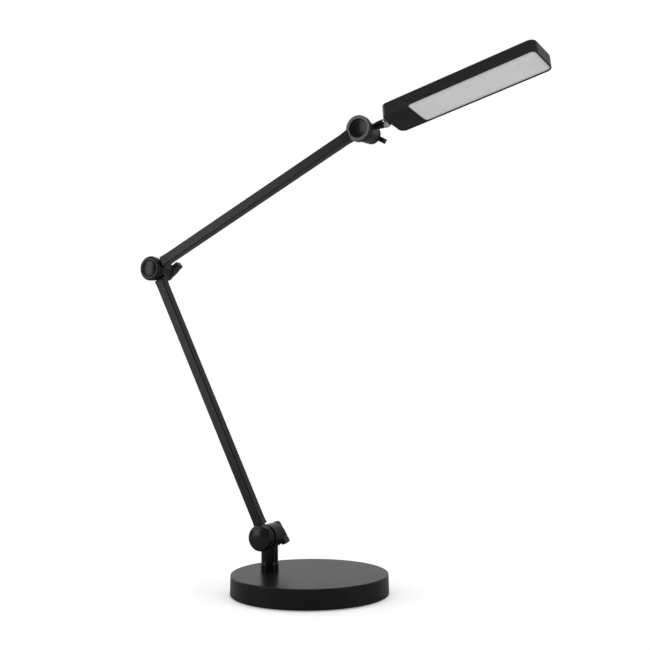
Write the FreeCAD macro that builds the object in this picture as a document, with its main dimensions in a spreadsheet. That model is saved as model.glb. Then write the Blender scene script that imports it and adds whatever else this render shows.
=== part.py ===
"""Double-arm LED desk lamp on a weighted round base.

Frame: millimetres, +Z up. The origin is the centre of the base on the table top. The arms lie in a plane parallel to
XZ and reach towards +X, and the three arm joints turn about Y: their caps face -Y and their wing knobs face +Y.
"""
import FreeCAD, Part
import math
import os
import Sketcher

doc = FreeCAD.newDocument("desk_lamp")
sheet = doc.addObject("Spreadsheet::Sheet", "Sizes")

# ---------------------------------------------------------------------------------------------------------------
# Driving dimensions, in millimetres and degrees
# ---------------------------------------------------------------------------------------------------------------

DIMENSIONS = {
    # weighted base
    "base_radius": 101.1,
    "base_taper": 0.6,
    "base_height": 26.1,
    "base_wall": 1.8,
    "base_edge_round": 1.4,
    "base_lift": 1.0,
    "pad_thickness": 2.0,
    "pad_margin": 5.1,
    "pad_hole_clearance": 0.4,
    "plate_thickness": 1.2,
    "plate_clearance": 0.15,
    "ballast_margin": 9.1,
    "ballast_thickness": 11.0,
    "boss_margin": 33.1,
    "boss_radius": 6.0,
    "screw_radius": 2.0,
    "screw_head_radius": 3.8,
    "screw_head_thickness": 1.4,
    "screw_length": 7.0,
    "screw_clearance": 0.2,
    # power inlet
    "inlet_depth": 11.0,
    "inlet_width": 10.0,
    "inlet_height": 9.4,
    "inlet_nose": 4.3,
    "inlet_proud": 0.5,
    "socket_radius": 2.85,
    "socket_depth": 9.5,
    "socket_pin_radius": 1.05,
    # post and swivel
    "post_margin": 46.4,
    "post_bearing": 188.7,
    "post_radius": 10.9,
    "foot_radius": 11.7,
    "foot_height": 8.0,
    "foot_taper": 3.0,
    "shank_radius": 6.0,
    "shank_below": 7.5,
    "shank_bore": 3.0,
    "slip_washer": 0.6,
    "bushing_wall": 2.0,
    "bushing_flange": 1.0,
    "bushing_flange_radius": 10.0,
    "swivel_washer_radius": 12.0,
    "swivel_washer": 1.3,
    "swivel_nut_flats": 19.0,
    "swivel_nut": 5.0,
    "fit": 0.06,
    "face_gap": 0.05,
    # joint stack, measured along Y from the plane of the post
    "joint_height": 70.5,
    "hub_front": -20.0,
    "ring_front": -22.6,
    "hub_radius": 16.3,
    "hub_step": -16.2,
    "neck_radius": 13.4,
    "lap_front": -10.8,
    "lap_back": -10.2,
    "barrel_end": 13.4,
    "elbow_barrel_end": 12.0,
    "post_barrel_radius": 15.3,
    "elbow_barrel_radius": 10.0,
    "head_barrel_radius": 14.0,
    "head_barrel_end_radius": 12.6,
    "barrel_round": 1.0,
    "hub_round": 0.8,
    "ring_round": 3.4,
    "recess_radius": 11.7,
    "bolt_seat": -13.6,
    "bolt_radius": 3.0,
    "bolt_head": 2.8,
    "bolt_head_flats": 10.0,
    "bolt_beyond": 10.4,
    "friction_ring_radius": 12.8,
    "cap_radius": 16.8,
    "cap_front": -28.3,
    "cap_crown_radius": 62.0,
    "cap_round": 4.4,
    "cap_wall": 2.2,
    "plug_thickness": 1.4,
    "thrust_washer_radius": 8.6,
    "thrust_washer": 1.4,
    # wing knobs
    "knob_flange_radius": 12.0,
    "elbow_flange_radius": 10.2,
    "knob_flange": 5.4,
    "knob_waist_radius": 8.0,
    "knob_end_radius": 6.4,
    "knob_length": 12.0,
    "knob_chamfer": 1.2,
    "insert_radius": 5.0,
    "insert_length": 9.0,
    "wing_half_span": 15.6,
    "wing_height": 22.4,
    "wing_sweep": 2.0,
    "wing_inner_height": 8.0,
    "wing_thickness": 6.2,
    "wing_corner": 4.4,
    "wing_edge_round": 2.2,
    "base_wing_angle": 57.0,
    "elbow_wing_angle": -40.0,
    "head_wing_angle": 30.0,
    # arms
    "lower_length": 394.9,
    "lower_lean": 26.16,
    "upper_length": 352.9,
    "upper_rise": 26.35,
    "tube_side": 12.7,
    "tube_wall": 1.0,
    "tube_corner": 1.4,
    "spigot_length": 18.0,
    "spigot_clearance": 0.1,
    "lower_arm_y": -10.4,
    "upper_arm_y": -16.8,
    "foot_seam": 24.0,
    "elbow_lower_seam": 28.0,
    "elbow_upper_seam": 31.0,
    "head_seam": 24.0,
    "foot_block": 16.6,
    "elbow_lower_block": 16.9,
    "elbow_upper_block": 19.3,
    "head_block": 14.0,
    "fitting_flare": 2.0,
    "lead_radius": 1.1,
    "lead_bore": 1.5,
    # ball joint of the head
    "head_tilt": 10.9,
    "head_twist": -14.4,
    "head_pan": -6.9,
    "stem_reach": 28.0,
    "stem_shift": 4.2,
    "stem_rise": 4.4,
    "stem_radius": 4.3,
    "stem_end": 14.0,
    "stem_pin_radius": 2.0,
    "stem_pin_end": 8.4,
    "ball_radius": 6.4,
    "ball_clearance": 0.08,
    "cup_rim": -3.5,
    "cup_root_radius": 4.8,
    "cup_rim_radius": 5.7,
    "tongue_half": 2.0,
    "tongue_thickness": 2.0,
    "slot_half": 4.6,
    "slot_clearance": 0.05,
    "hinge_pin_radius": 0.9,
    "hinge_pin_half": 4.6,
    "collar_radius": 5.0,
    "collar_length": 2.7,
    "stud_radius": 2.0,
    "stud_end": 6.5,
    "stud_nut_flats": 7.0,
    "stud_nut": 2.6,
    # lamp head, in its own frame: x along it from the joint end, z up from its lower face
    "head_gap": 7.0,
    "head_length": 207.0,
    "head_width": 49.4,
    "head_thickness": 16.1,
    "head_corner": 8.6,
    "head_wall": 1.3,
    "head_top_wall": 1.6,
    "head_edge_round": 1.2,
    "ball_height": 5.7,
    "panel_end": 37.0,
    "panel_thickness": 1.2,
    "panel_inset": 0.3,
    "bezel_rim": 0.7,
    "window_corner": 5.6,
    "lens_thickness": 1.6,
    "lens_inset": 0.5,
    "lens_clearance": 0.15,
    "reflector_wall": 1.0,
    "spreader_thickness": 1.5,
    "led_board_thickness": 1.2,
    "led_board_margin": 2.5,
    "led_side": 2.8,
    "led_height": 0.8,
    "led_pitch": 17.3,
    "led_row_offset": 10.5,
    "led_first": 52.6,
    "driver_length": 24.0,
    "driver_width": 34.0,
    "driver_thickness": 1.4,
    "driver_start": 8.0,
    "driver_post": 3.4,
    "driver_post_radius": 2.4,
    "driver_screw_radius": 1.1,
    "driver_screw_head": 2.1,
    "driver_screw_length": 4.0,
    "button_place": 20.0,
    "button_radius": 7.0,
    "button_proud": 1.2,
    "button_flange": 1.2,
    "button_flange_radius": 8.4,
    "button_travel": 0.8,
    "tact_switch_side": 6.0,
}
LED_COLUMNS = 9
SCREW_COUNT = 4


class Size:
    """A number from the sheet together with the formula that gives it there."""

    def __init__(self, value, formula):
        self.value = value
        self.formula = formula

    @staticmethod
    def of(other):
        return other if isinstance(other, Size) else Size(float(other), repr(float(other)))

    def _join(self, other, sign, value):
        return Size(value, f"({self.formula} {sign} {other.formula})")

    def __add__(self, other):
        other = Size.of(other)
        return self._join(other, "+", self.value + other.value)

    def __radd__(self, other):
        return Size.of(other) + self

    def __sub__(self, other):
        other = Size.of(other)
        return self._join(other, "-", self.value - other.value)

    def __rsub__(self, other):
        return Size.of(other) - self

    def __mul__(self, other):
        other = Size.of(other)
        return self._join(other, "*", self.value * other.value)

    def __rmul__(self, other):
        return Size.of(other) * self

    def __truediv__(self, other):
        other = Size.of(other)
        return self._join(other, "/", self.value / other.value)

    def __neg__(self):
        return Size(-self.value, f"(-{self.formula})")

    def __float__(self):
        return float(self.value)


def cosine(angle):
    angle = Size.of(angle)
    return Size(math.cos(math.radians(angle.value)), f"cos({angle.formula} * 1 deg)")


def sine(angle):
    angle = Size.of(angle)
    return Size(math.sin(math.radians(angle.value)), f"sin({angle.formula} * 1 deg)")


class Sheet:
    """Each driving dimension by its own name, such as dim.base_radius."""


dim = Sheet()
for row, (name, number) in enumerate(DIMENSIONS.items(), start=1):
    sheet.set(f"A{row}", name)
    sheet.set(f"B{row}", str(number))
    sheet.setAlias(f"B{row}", name)
    setattr(dim, name, Size(number, f"Sizes.{name}"))
doc.recompute()

# ---------------------------------------------------------------------------------------------------------------
# Modelling steps
# ---------------------------------------------------------------------------------------------------------------

X_AXIS = FreeCAD.Vector(1, 0, 0)
Y_AXIS = FreeCAD.Vector(0, 1, 0)
Z_AXIS = FreeCAD.Vector(0, 0, 1)
TURN = {
    "z": FreeCAD.Rotation(),
    "y": FreeCAD.Rotation(X_AXIS, -90),
    "x": FreeCAD.Rotation(Y_AXIS, 90),
}
subparts = []


def bind(thing, **sizes):
    """Bind properties of an object to the sheet."""
    for name, size in sizes.items():
        thing.setExpression(name, Size.of(size).formula)
    return thing


def move(thing, x=0, y=0, z=0):
    """Bind an object's position to the sheet."""
    for letter, size in zip("xyz", (x, y, z)):
        thing.setExpression(f"Placement.Base.{letter}", Size.of(size).formula)
    return thing


def turn(thing, axis, angle):
    """Turn a piece about an axis through the origin by an angle from the sheet. A piece that is placed already is
    carried by a compound, which turns instead."""
    if not thing.Placement.isIdentity():
        carrier = doc.addObject("Part::Compound", f"{thing.Name}_turned")
        carrier.Links = [thing]
        thing = carrier
    thing.Placement = FreeCAD.Placement(thing.Placement.Base, FreeCAD.Rotation(axis, float(angle)))
    thing.setExpression("Placement.Rotation.Angle", Size.of(angle).formula)
    return thing


def cylinder(name, radius, start, end, along="z", at=(0, 0)):
    """A cylinder along an axis from start to end, with its centre line at the other two coordinates."""
    thing = doc.addObject("Part::Cylinder", name)
    thing.Placement.Rotation = TURN[along]
    bind(thing, Radius=radius, Height=Size.of(end) - start)
    a, b = at
    place = {"z": (a, b, start), "y": (a, start, b), "x": (start, a, b)}[along]
    return move(thing, *place)


def cone(name, radius, end_radius, start, end, along="z", at=(0, 0)):
    """A cone along an axis, from its radius at start to its radius at end."""
    thing = doc.addObject("Part::Cone", name)
    thing.Placement.Rotation = TURN[along]
    bind(thing, Radius1=radius, Radius2=end_radius, Height=Size.of(end) - start)
    a, b = at
    place = {"z": (a, b, start), "y": (a, start, b), "x": (start, a, b)}[along]
    return move(thing, *place)


def sphere(name, radius, x=0, y=0, z=0):
    thing = doc.addObject("Part::Sphere", name)
    return move(bind(thing, Radius=radius), x, y, z)


def block(name, x, y, z):
    """A box from its low and high limits along each axis."""
    thing = doc.addObject("Part::Box", name)
    low = [Size.of(pair[0]) for pair in (x, y, z)]
    span = [Size.of(pair[1]) - pair[0] for pair in (x, y, z)]
    bind(thing, Length=span[0], Width=span[1], Height=span[2])
    return move(thing, *low)


def hexagon(name, flats, start, end, along="z", at=(0, 0)):
    """A hexagonal prism, sized across its flats."""
    thing = doc.addObject("Part::Prism", name)
    thing.Polygon = 6
    thing.Placement.Rotation = TURN[along]
    bind(thing, Circumradius=Size.of(flats) / math.sqrt(3), Height=Size.of(end) - start)
    a, b = at
    place = {"z": (a, b, start), "y": (a, start, b), "x": (start, a, b)}[along]
    return move(thing, *place)


def fuse(name, *things):
    thing = doc.addObject("Part::MultiFuse", name)
    thing.Shapes = list(things)
    thing.Refine = True
    return thing


def cut(name, base, *tools):
    """The base less each tool in turn."""
    for number, tool in enumerate(tools, start=1):
        thing = doc.addObject("Part::Cut", name if number == len(tools) else f"{name}_step")
        thing.Base = base
        thing.Tool = tool
        base = thing
    return base


def common(name, *things):
    thing = doc.addObject("Part::MultiCommon", name)
    thing.Shapes = list(things)
    return thing


def bundle(name, *things):
    """Several separate solids that share one sub-part, such as a set of screws."""
    thing = doc.addObject("Part::Compound", name)
    thing.Links = list(things)
    return thing


def origin_plane(body, role):
    return [item for item in body.Origin.OriginFeatures if item.Role == role][0]


def outline(body, plane, corners):
    """A closed sketch on one of the body's origin planes. A corner is (x, y), or (x, y, radius) where an arc of that
    radius runs on to the next corner, bulging to the left of the way round when the radius is positive."""
    sketch = body.newObject("Sketcher::SketchObject", "Outline")
    sketch.AttachmentSupport = [(origin_plane(body, plane), "")]
    sketch.MapMode = "FlatFace"
    points = [FreeCAD.Vector(float(corner[0]), float(corner[1]), 0) for corner in corners]
    ends = []
    for number, corner in enumerate(corners):
        first, last = points[number], points[(number + 1) % len(points)]
        if len(corner) == 2:
            sketch.addGeometry(Part.LineSegment(first, last))
            ends.append((1, 2))
            continue
        radius = float(corner[2])
        chord = last - first
        left = FreeCAD.Vector(-chord.y, chord.x, 0).normalize() * math.copysign(1, radius)
        centre = (first + last) * 0.5 - left * math.sqrt(radius * radius - chord.Length ** 2 / 4)
        turns = [math.atan2(point.y - centre.y, point.x - centre.x) for point in (first, last)]
        if radius > 0:
            turns.reverse()
        if turns[1] < turns[0]:
            turns[1] += 2 * math.pi
        sketch.addGeometry(Part.ArcOfCircle(Part.Circle(centre, Z_AXIS, abs(radius)), *turns))
        ends.append((2, 1) if radius > 0 else (1, 2))
    for number in range(len(corners)):
        following = (number + 1) % len(corners)
        join = Sketcher.Constraint("Coincident", number, ends[number][1], following, ends[following][0])
        sketch.addConstraint(join)
    for number, corner in enumerate(corners):
        for kind, size in zip(("DistanceX", "DistanceY"), corner):
            where = Sketcher.Constraint(kind, -1, 1, number, ends[number][0], float(size))
            constraint = sketch.addConstraint(where)
            sketch.setExpression(f"Constraints[{constraint}]", Size.of(size).formula)
        if len(corner) == 3:
            radius = corner[2] if float(corner[2]) > 0 else -Size.of(corner[2])
            constraint = sketch.addConstraint(Sketcher.Constraint("Radius", number, float(radius)))
            sketch.setExpression(f"Constraints[{constraint}]", Size.of(radius).formula)
    return sketch


def turned(name, corners, plane="XZ_Plane"):
    """A body turned about the vertical axis of its sketch, from (radius, height) corners."""
    body = doc.addObject("PartDesign::Body", name)
    sketch = outline(body, plane, corners)
    turning = body.newObject("PartDesign::Revolution", f"{name}_turning")
    turning.Profile = sketch
    turning.ReferenceAxis = (sketch, ["V_Axis"])
    turning.Angle = 360
    doc.recompute()
    return body


def turned_about_y(name, corners):
    """A body turned about Y, from (radius, y) corners: sketched on XY, whose upright axis is Y."""
    return turned(name, corners, plane="XY_Plane")


def padded(name, plane, corners, length, both_ways=True):
    """A body made by padding a closed outline."""
    body = doc.addObject("PartDesign::Body", name)
    sketch = outline(body, plane, corners)
    pad = body.newObject("PartDesign::Pad", f"{name}_pad")
    pad.Profile = sketch
    pad.Midplane = both_ways
    bind(pad, Length=length)
    doc.recompute()
    return body


def round_edges(body, radius, wanted, chamfer=False):
    """Fillet or chamfer the edges of a body's tip that the test picks."""
    tip = body.Tip
    names = [f"Edge{n}" for n, edge in enumerate(tip.Shape.Edges, start=1) if wanted(edge)]
    kind = "PartDesign::Chamfer" if chamfer else "PartDesign::Fillet"
    feature = body.newObject(kind, f"{body.Name}_edge")
    feature.Base = (tip, names)
    if chamfer:
        bind(feature, Size=radius)
    else:
        bind(feature, Radius=radius)
    doc.recompute()
    return body


def middle(edge):
    return edge.valueAt((edge.FirstParameter + edge.LastParameter) / 2)


def is_circle_at(radius, height, letter):
    """A test for a circular edge of one radius at one height along an axis."""

    def test(edge):
        if edge.Degenerated or not isinstance(edge.Curve, Part.Circle):
            return False
        off_place = abs(getattr(edge.Curve.Center, letter) - float(height))
        return abs(edge.Curve.Radius - float(radius)) < 1e-4 and off_place < 1e-4

    return test


def is_along(axis):
    """A test for a straight edge parallel to an axis."""

    def test(edge):
        if edge.Degenerated or not isinstance(edge.Curve, Part.Line):
            return False
        return abs(abs(edge.tangentAt(edge.FirstParameter).dot(axis)) - 1) < 1e-6

    return test


def is_subpart(label, thing):
    """Give an object the name of the sub-part that it is."""
    thing.Label = label
    subparts.append(thing)
    return thing


# ---------------------------------------------------------------------------------------------------------------
# Places that several pieces share
# ---------------------------------------------------------------------------------------------------------------

post_offset = dim.base_radius - dim.post_margin
post_x = post_offset * cosine(dim.post_bearing)
post_y = post_offset * sine(dim.post_bearing)
boss_circle = dim.base_radius - dim.boss_margin
elbow_x = post_x - dim.lower_length * sine(dim.lower_lean)
elbow_z = dim.joint_height + dim.lower_length * cosine(dim.lower_lean)
head_joint_x = elbow_x + dim.upper_length * cosine(dim.upper_rise)
head_joint_z = elbow_z + dim.upper_length * sine(dim.upper_rise)

BASE_JOINT = (post_x, post_y, dim.joint_height)
ELBOW = (elbow_x, post_y, elbow_z)
HEAD_JOINT = (head_joint_x, post_y, head_joint_z)

# The x axis of an end fitting runs from its joint into its tube.
FOOT_TURN = -90 - dim.lower_lean
ELBOW_LOWER_TURN = 90 - dim.lower_lean
ELBOW_UPPER_TURN = -dim.upper_rise
HEAD_END_TURN = 180 - dim.upper_rise

ball_x = head_joint_x + dim.stem_reach * cosine(dim.head_tilt) - dim.stem_rise * sine(dim.head_tilt)
ball_y = post_y + dim.stem_shift
ball_z = head_joint_z + dim.stem_reach * sine(dim.head_tilt) + dim.stem_rise * cosine(dim.head_tilt)


def at_joint(thing, joint, angle):
    """Set a piece that is modelled about its joint at that joint, turned about Y."""
    return move(turn(thing, Y_AXIS, angle), *joint)


# ---------------------------------------------------------------------------------------------------------------
# Weighted base
# ---------------------------------------------------------------------------------------------------------------

cover_under = dim.base_height - dim.base_wall
cover_inside = dim.base_radius - dim.base_wall
plate_top = dim.pad_thickness + dim.plate_thickness
ballast_bottom = cover_under - dim.ballast_thickness
bushing_outer = dim.shank_radius + dim.fit + dim.bushing_wall


def about_centre(thing, angle, radius):
    """Stand a piece that is modelled upright at a bearing and a distance from the middle of the base."""
    return move(turn(thing, Z_AXIS, angle), radius * cosine(angle), radius * sine(angle))


def inlet_shape(label, start, end, radius):
    """A cylinder that points outwards along the power inlet's axis."""
    centre = plate_top + dim.inlet_height / 2
    return cylinder(label, radius, start, end, along="x", at=(0, centre))


def base_cover():
    """Pressed steel cover: a flat top with a rounded edge and a straight side down to just above the table."""
    corners = [
        (0, cover_under),
        (cover_inside, cover_under),
        (cover_inside, dim.base_lift),
        (dim.base_radius, dim.base_lift),
        (dim.base_radius - dim.base_taper, dim.base_height),
        (0, dim.base_height),
    ]
    body = turned("CoverPressing", corners)
    round_edges(body, dim.base_edge_round, is_circle_at(dim.base_radius - dim.base_taper, dim.base_height, "z"))
    round_edges(body, dim.base_wall * 0.3, is_circle_at(dim.base_radius, dim.base_lift, "z"))
    shank_hole = cylinder("CoverHole", dim.shank_radius + 0.3, 0, dim.base_height + 1, at=(post_x, post_y))
    reach = dim.base_radius + dim.inlet_proud
    inlet_hole = inlet_shape("InletHole", cover_inside - dim.inlet_nose, reach + 1, dim.inlet_nose + 0.1)
    is_subpart("base_cover", cut("Cover", body, shank_hole, along_inlet(inlet_hole)))


def along_inlet(thing):
    """Turn a piece modelled along X to the bearing of the post, where the power inlet is."""
    return turn(thing, Z_AXIS, dim.post_bearing)


def base_ballast():
    """Cast iron disc under the top of the cover, with screw bosses down to the bottom plate."""
    disc = cylinder("BallastDisc", dim.base_radius - dim.ballast_margin, ballast_bottom, cover_under)
    pieces = [disc]
    holes = [cylinder("BallastBore", bushing_outer, 0, dim.base_height, at=(post_x, post_y))]
    for number in range(SCREW_COUNT):
        bearing = 360 / SCREW_COUNT * (number + 0.5)
        at = (boss_circle * cosine(bearing), boss_circle * sine(bearing))
        pieces.append(cylinder(f"Boss{number}", dim.boss_radius, plate_top, ballast_bottom + 1, at=at))
        top = dim.pad_thickness + dim.screw_length + 1
        holes.append(cylinder(f"BossHole{number}", dim.screw_radius, 0, top, at=at))
    is_subpart("base_ballast", cut("Ballast", fuse("BallastCasting", *pieces), *holes))


def base_plate():
    """Steel bottom plate that closes the cover."""
    disc = cylinder("PlateDisc", cover_inside - dim.plate_clearance, dim.pad_thickness, plate_top)
    holes = []
    for number in range(SCREW_COUNT):
        bearing = 360 / SCREW_COUNT * (number + 0.5)
        at = (boss_circle * cosine(bearing), boss_circle * sine(bearing))
        holes.append(cylinder(f"PlateHole{number}", dim.screw_radius + dim.screw_clearance, 0, plate_top + 1, at=at))
    is_subpart("base_plate", cut("Plate", disc, *holes))


def base_pad():
    """Soft foam disc under the plate, which keeps the base from sliding, with a hole round each screw head."""
    disc = cylinder("PadDisc", dim.base_radius - dim.pad_margin, 0, dim.pad_thickness)
    holes = []
    for number in range(SCREW_COUNT):
        bearing = 360 / SCREW_COUNT * (number + 0.5)
        at = (boss_circle * cosine(bearing), boss_circle * sine(bearing))
        holes.append(cylinder(f"PadHole{number}", dim.screw_head_radius + dim.pad_hole_clearance, -1,
                              dim.pad_thickness + 1, at=at))
    is_subpart("base_pad", cut("Pad", disc, *holes))


def base_screws():
    """Pan-head screws through the bottom plate into the ballast."""
    screws = []
    for number in range(SCREW_COUNT):
        bearing = 360 / SCREW_COUNT * (number + 0.5)
        at = (boss_circle * cosine(bearing), boss_circle * sine(bearing))
        head_low = dim.pad_thickness - dim.screw_head_thickness
        head = cylinder(f"ScrewHead{number}", dim.screw_head_radius, head_low, dim.pad_thickness, at=at)
        shank = cylinder(f"ScrewShank{number}", dim.screw_radius, head_low, dim.pad_thickness + dim.screw_length, at=at)
        screws.append(fuse(f"Screw{number}", head, shank))
    is_subpart("base_screws", bundle("BaseScrews", *screws))


def power_inlet():
    """Round low-voltage power socket in the side of the base, behind the post."""
    face = cover_inside - 0.6
    back = face - dim.inlet_depth
    half = dim.inlet_width / 2
    case = block("InletCase", (back, face), (-half, half), (plate_top, plate_top + dim.inlet_height))
    nose = inlet_shape("InletNose", face - 1, dim.base_radius + dim.inlet_proud, dim.inlet_nose)
    mouth = dim.base_radius + dim.inlet_proud
    socket = inlet_shape("InletSocket", mouth - dim.socket_depth, mouth + 1, dim.socket_radius)
    is_subpart("power_inlet", along_inlet(cut("Inlet", fuse("InletBody", case, nose), socket)))
    pin = inlet_shape("InletPin", mouth - dim.socket_depth, mouth - 1.5, dim.socket_pin_radius)
    is_subpart("inlet_pin", along_inlet(pin))


def swivel_bushing():
    """Flanged plastic bush in the ballast, in which the post's shank turns."""
    low = ballast_bottom - dim.bushing_flange
    sleeve = cylinder("BushSleeve", bushing_outer, low, cover_under, at=(post_x, post_y))
    flange = cylinder("BushFlange", dim.bushing_flange_radius, low, ballast_bottom, at=(post_x, post_y))
    bore = cylinder("BushBore", dim.shank_radius + dim.fit, 0, dim.base_height, at=(post_x, post_y))
    is_subpart("swivel_bushing", cut("Bush", fuse("BushBody", sleeve, flange), bore))


def bent_lead(label, points, bends):
    """A lead through straight runs joined by arcs that touch them, one bend radius for each inner point."""
    places = [FreeCAD.Vector(*(float(size) for size in point)) for point in points]
    edges = []
    start = places[0]
    for number, bend in enumerate(bends, start=1):
        corner = places[number]
        before = (places[number - 1] - corner).normalize()
        after = (places[number + 1] - corner).normalize()
        half = before.getAngle(after) / 2
        first = corner + before * (float(bend) / math.tan(half))
        last = corner + after * (float(bend) / math.tan(half))
        centre = corner + (before + after).normalize() * (float(bend) / math.sin(half))
        inner = centre + (corner - centre).normalize() * float(bend)
        edges.append(Part.LineSegment(start, first).toShape())
        edges.append(Part.Arc(first, inner, last).toShape())
        start = last
    edges.append(Part.LineSegment(start, places[-1]).toShape())
    way = Part.Wire(edges)
    section = Part.Circle(places[0], places[1] - places[0], float(dim.lead_radius))
    thing = doc.addObject("Part::Feature", f"{label}_sweep")
    thing.Shape = way.makePipeShell([Part.Wire(section.toShape())], True, False)
    return is_subpart(label, thing)


lead_level = plate_top + dim.lead_radius + 0.1
LEAD_JOIN = 20.0


def base_lead():
    """Two-core lead from the power inlet, under the swivel nut and up into the post."""
    def at_radius(radius, height):
        return (radius * cosine(dim.post_bearing), radius * sine(dim.post_bearing), height)

    inlet_back = cover_inside - 0.6 - dim.inlet_depth
    points = [
        at_radius(inlet_back, plate_top + dim.inlet_height / 2),
        at_radius(inlet_back - 5, plate_top + dim.inlet_height / 2),
        at_radius(inlet_back - 13, lead_level),
        at_radius(post_offset, lead_level),
        at_radius(post_offset, LEAD_JOIN),
    ]
    bent_lead("base_lead", points, [8.0, 8.0, 3.0])


# ---------------------------------------------------------------------------------------------------------------
# Post
# ---------------------------------------------------------------------------------------------------------------

shank_bottom = ballast_bottom - dim.shank_below
post_bottom = dim.base_height + dim.slip_washer
swivel_low = ballast_bottom - dim.bushing_flange - dim.face_gap
barrel_front = dim.lap_back


def post():
    """Die-cast post: a hollow shank through the base, a flared foot, a round column and the barrel of the joint."""
    at = (post_x, post_y)
    shank = cylinder("Shank", dim.shank_radius, shank_bottom, post_bottom + 1, at=at)
    foot = cylinder("Foot", dim.foot_radius, post_bottom, post_bottom + dim.foot_height, at=at)
    taper_end = post_bottom + dim.foot_height + dim.foot_taper
    taper = cone("FootTaper", dim.foot_radius, dim.post_radius, post_bottom + dim.foot_height, taper_end, at=at)
    column = cylinder("Column", dim.post_radius, post_bottom, dim.joint_height, at=at)
    barrel = turned_about_y("PostBarrel", barrel_profile(dim.post_barrel_radius, dim.post_barrel_radius, dim.barrel_end))
    move(barrel, *BASE_JOINT)
    casting = fuse("PostCasting", shank, foot, taper, column, barrel)
    near, far = post_y + barrel_front - 30, post_y + barrel_front
    axis = (post_x, dim.joint_height)
    body = cut("PostFaced", casting, cylinder("PostFace", dim.post_barrel_radius + 2, near, far, along="y", at=axis))
    bore_top = dim.joint_height - dim.post_barrel_radius
    bore = cylinder("PostBore", dim.shank_bore, shank_bottom - 1, bore_top, at=at)
    bolt_bore = cylinder("PostBoltBore", dim.bolt_radius + dim.fit, near, far + 50, along="y", at=axis)
    is_subpart("post", cut("Post", body, bore, bolt_bore))


def barrel_profile(near_radius, far_radius, end):
    """The (radius, y) outline of a joint's barrel, with small chamfers at both ends."""
    edge = dim.barrel_round
    return [
        (0, barrel_front),
        (near_radius - edge, barrel_front),
        (near_radius, barrel_front + edge),
        (far_radius, end - edge),
        (far_radius - edge, end),
        (0, end),
    ]


def swivel_hardware():
    """Slip washer under the foot, and the steel washer and nut that hold the shank from below."""
    at = (post_x, post_y)
    slip = cylinder("Slip", dim.foot_radius - 0.3, dim.base_height, post_bottom, at=at)
    slip_bore = cylinder("SlipBore", dim.shank_radius + dim.fit, 0, post_bottom + 1, at=at)
    is_subpart("swivel_slip_washer", cut("SlipWasher", slip, slip_bore))
    washer_low = swivel_low - dim.swivel_washer
    washer = cylinder("Thrust", dim.swivel_washer_radius, washer_low, swivel_low, at=at)
    washer_bore = cylinder("ThrustBore", dim.shank_radius + dim.fit, 0, dim.base_height, at=at)
    is_subpart("swivel_washer", cut("ThrustWasher", washer, washer_bore))
    nut = hexagon("Nut", dim.swivel_nut_flats, washer_low - dim.swivel_nut, washer_low, at=at)
    nut_bore = cylinder("NutBore", dim.shank_radius, 0, dim.base_height, at=at)
    is_subpart("swivel_nut", cut("SwivelNut", nut, nut_bore))


def post_lead():
    """The lead's run inside the post."""
    top = dim.joint_height - dim.post_barrel_radius - 1
    run = cylinder("PostLead", dim.lead_radius, LEAD_JOIN + 0.3, top, at=(post_x, post_y))
    is_subpart("post_lead", run)


# ---------------------------------------------------------------------------------------------------------------
# Joint hardware, the same at the base, the elbow and the head
# ---------------------------------------------------------------------------------------------------------------


def joint_cap(joint_name, joint):
    """Domed cap that plugs into the hub's recess and hides the head of the bolt."""
    wall = dim.cap_wall
    skirt = dim.recess_radius - 0.1
    edge = dim.cap_front + dim.cap_crown_radius
    sag = edge.value - math.sqrt(dim.cap_crown_radius.value ** 2 - dim.cap_radius.value ** 2)
    rim_front = dim.cap_front + (sag - dim.cap_front.value)
    corners = [
        (0, dim.cap_front, -dim.cap_crown_radius),
        (dim.cap_radius, rim_front),
        (dim.cap_radius, dim.hub_front),
        (skirt, dim.hub_front),
        (skirt, dim.hub_front + 1.6),
        (skirt - wall, dim.hub_front + 1.6),
        (skirt - wall, dim.hub_front - 3),
        (0, dim.hub_front - 3),
    ]
    body = turned_about_y(f"{joint_name}CapTurning", corners)
    round_edges(body, dim.cap_round, is_circle_at(dim.cap_radius, rim_front, "y"))
    is_subpart(f"{joint_name}_cap", at_joint(body, joint, 0))


def joint_bolt(joint_name, joint, end):
    """Hex-head bolt along the joint's axis: its head sits in the hub and the knob screws on its far end."""
    head_front = dim.bolt_seat - dim.bolt_head
    head = hexagon(f"{joint_name}BoltHead", dim.bolt_head_flats, head_front, dim.bolt_seat, along="y")
    shank = cylinder(f"{joint_name}BoltShank", dim.bolt_radius, head_front, end + dim.bolt_beyond, along="y")
    is_subpart(f"{joint_name}_bolt", at_joint(fuse(f"{joint_name}Bolt", head, shank), joint, 0))


def friction_ring(joint_name, joint):
    """Fibre ring between the two hubs, which gives the joint its drag."""
    back = barrel_front - dim.face_gap
    ring = cylinder(f"{joint_name}RingDisc", dim.friction_ring_radius, dim.lap_front, back, along="y")
    bore = cylinder(f"{joint_name}RingBore", dim.bolt_radius + dim.fit, dim.lap_front - 1, back + 1, along="y")
    is_subpart(f"{joint_name}_friction_ring", at_joint(cut(f"{joint_name}Ring", ring, bore), joint, 0))


def thrust_washer(joint_name, joint, low):
    """Steel washer between the barrel and the knob."""
    high = low + dim.thrust_washer
    disc = cylinder(f"{joint_name}WasherDisc", dim.thrust_washer_radius, low, high, along="y")
    bore = cylinder(f"{joint_name}WasherBore", dim.bolt_radius + dim.fit, low - 1, high + 1, along="y")
    is_subpart(f"{joint_name}_washer", at_joint(cut(f"{joint_name}Washer", disc, bore), joint, 0))


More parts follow.
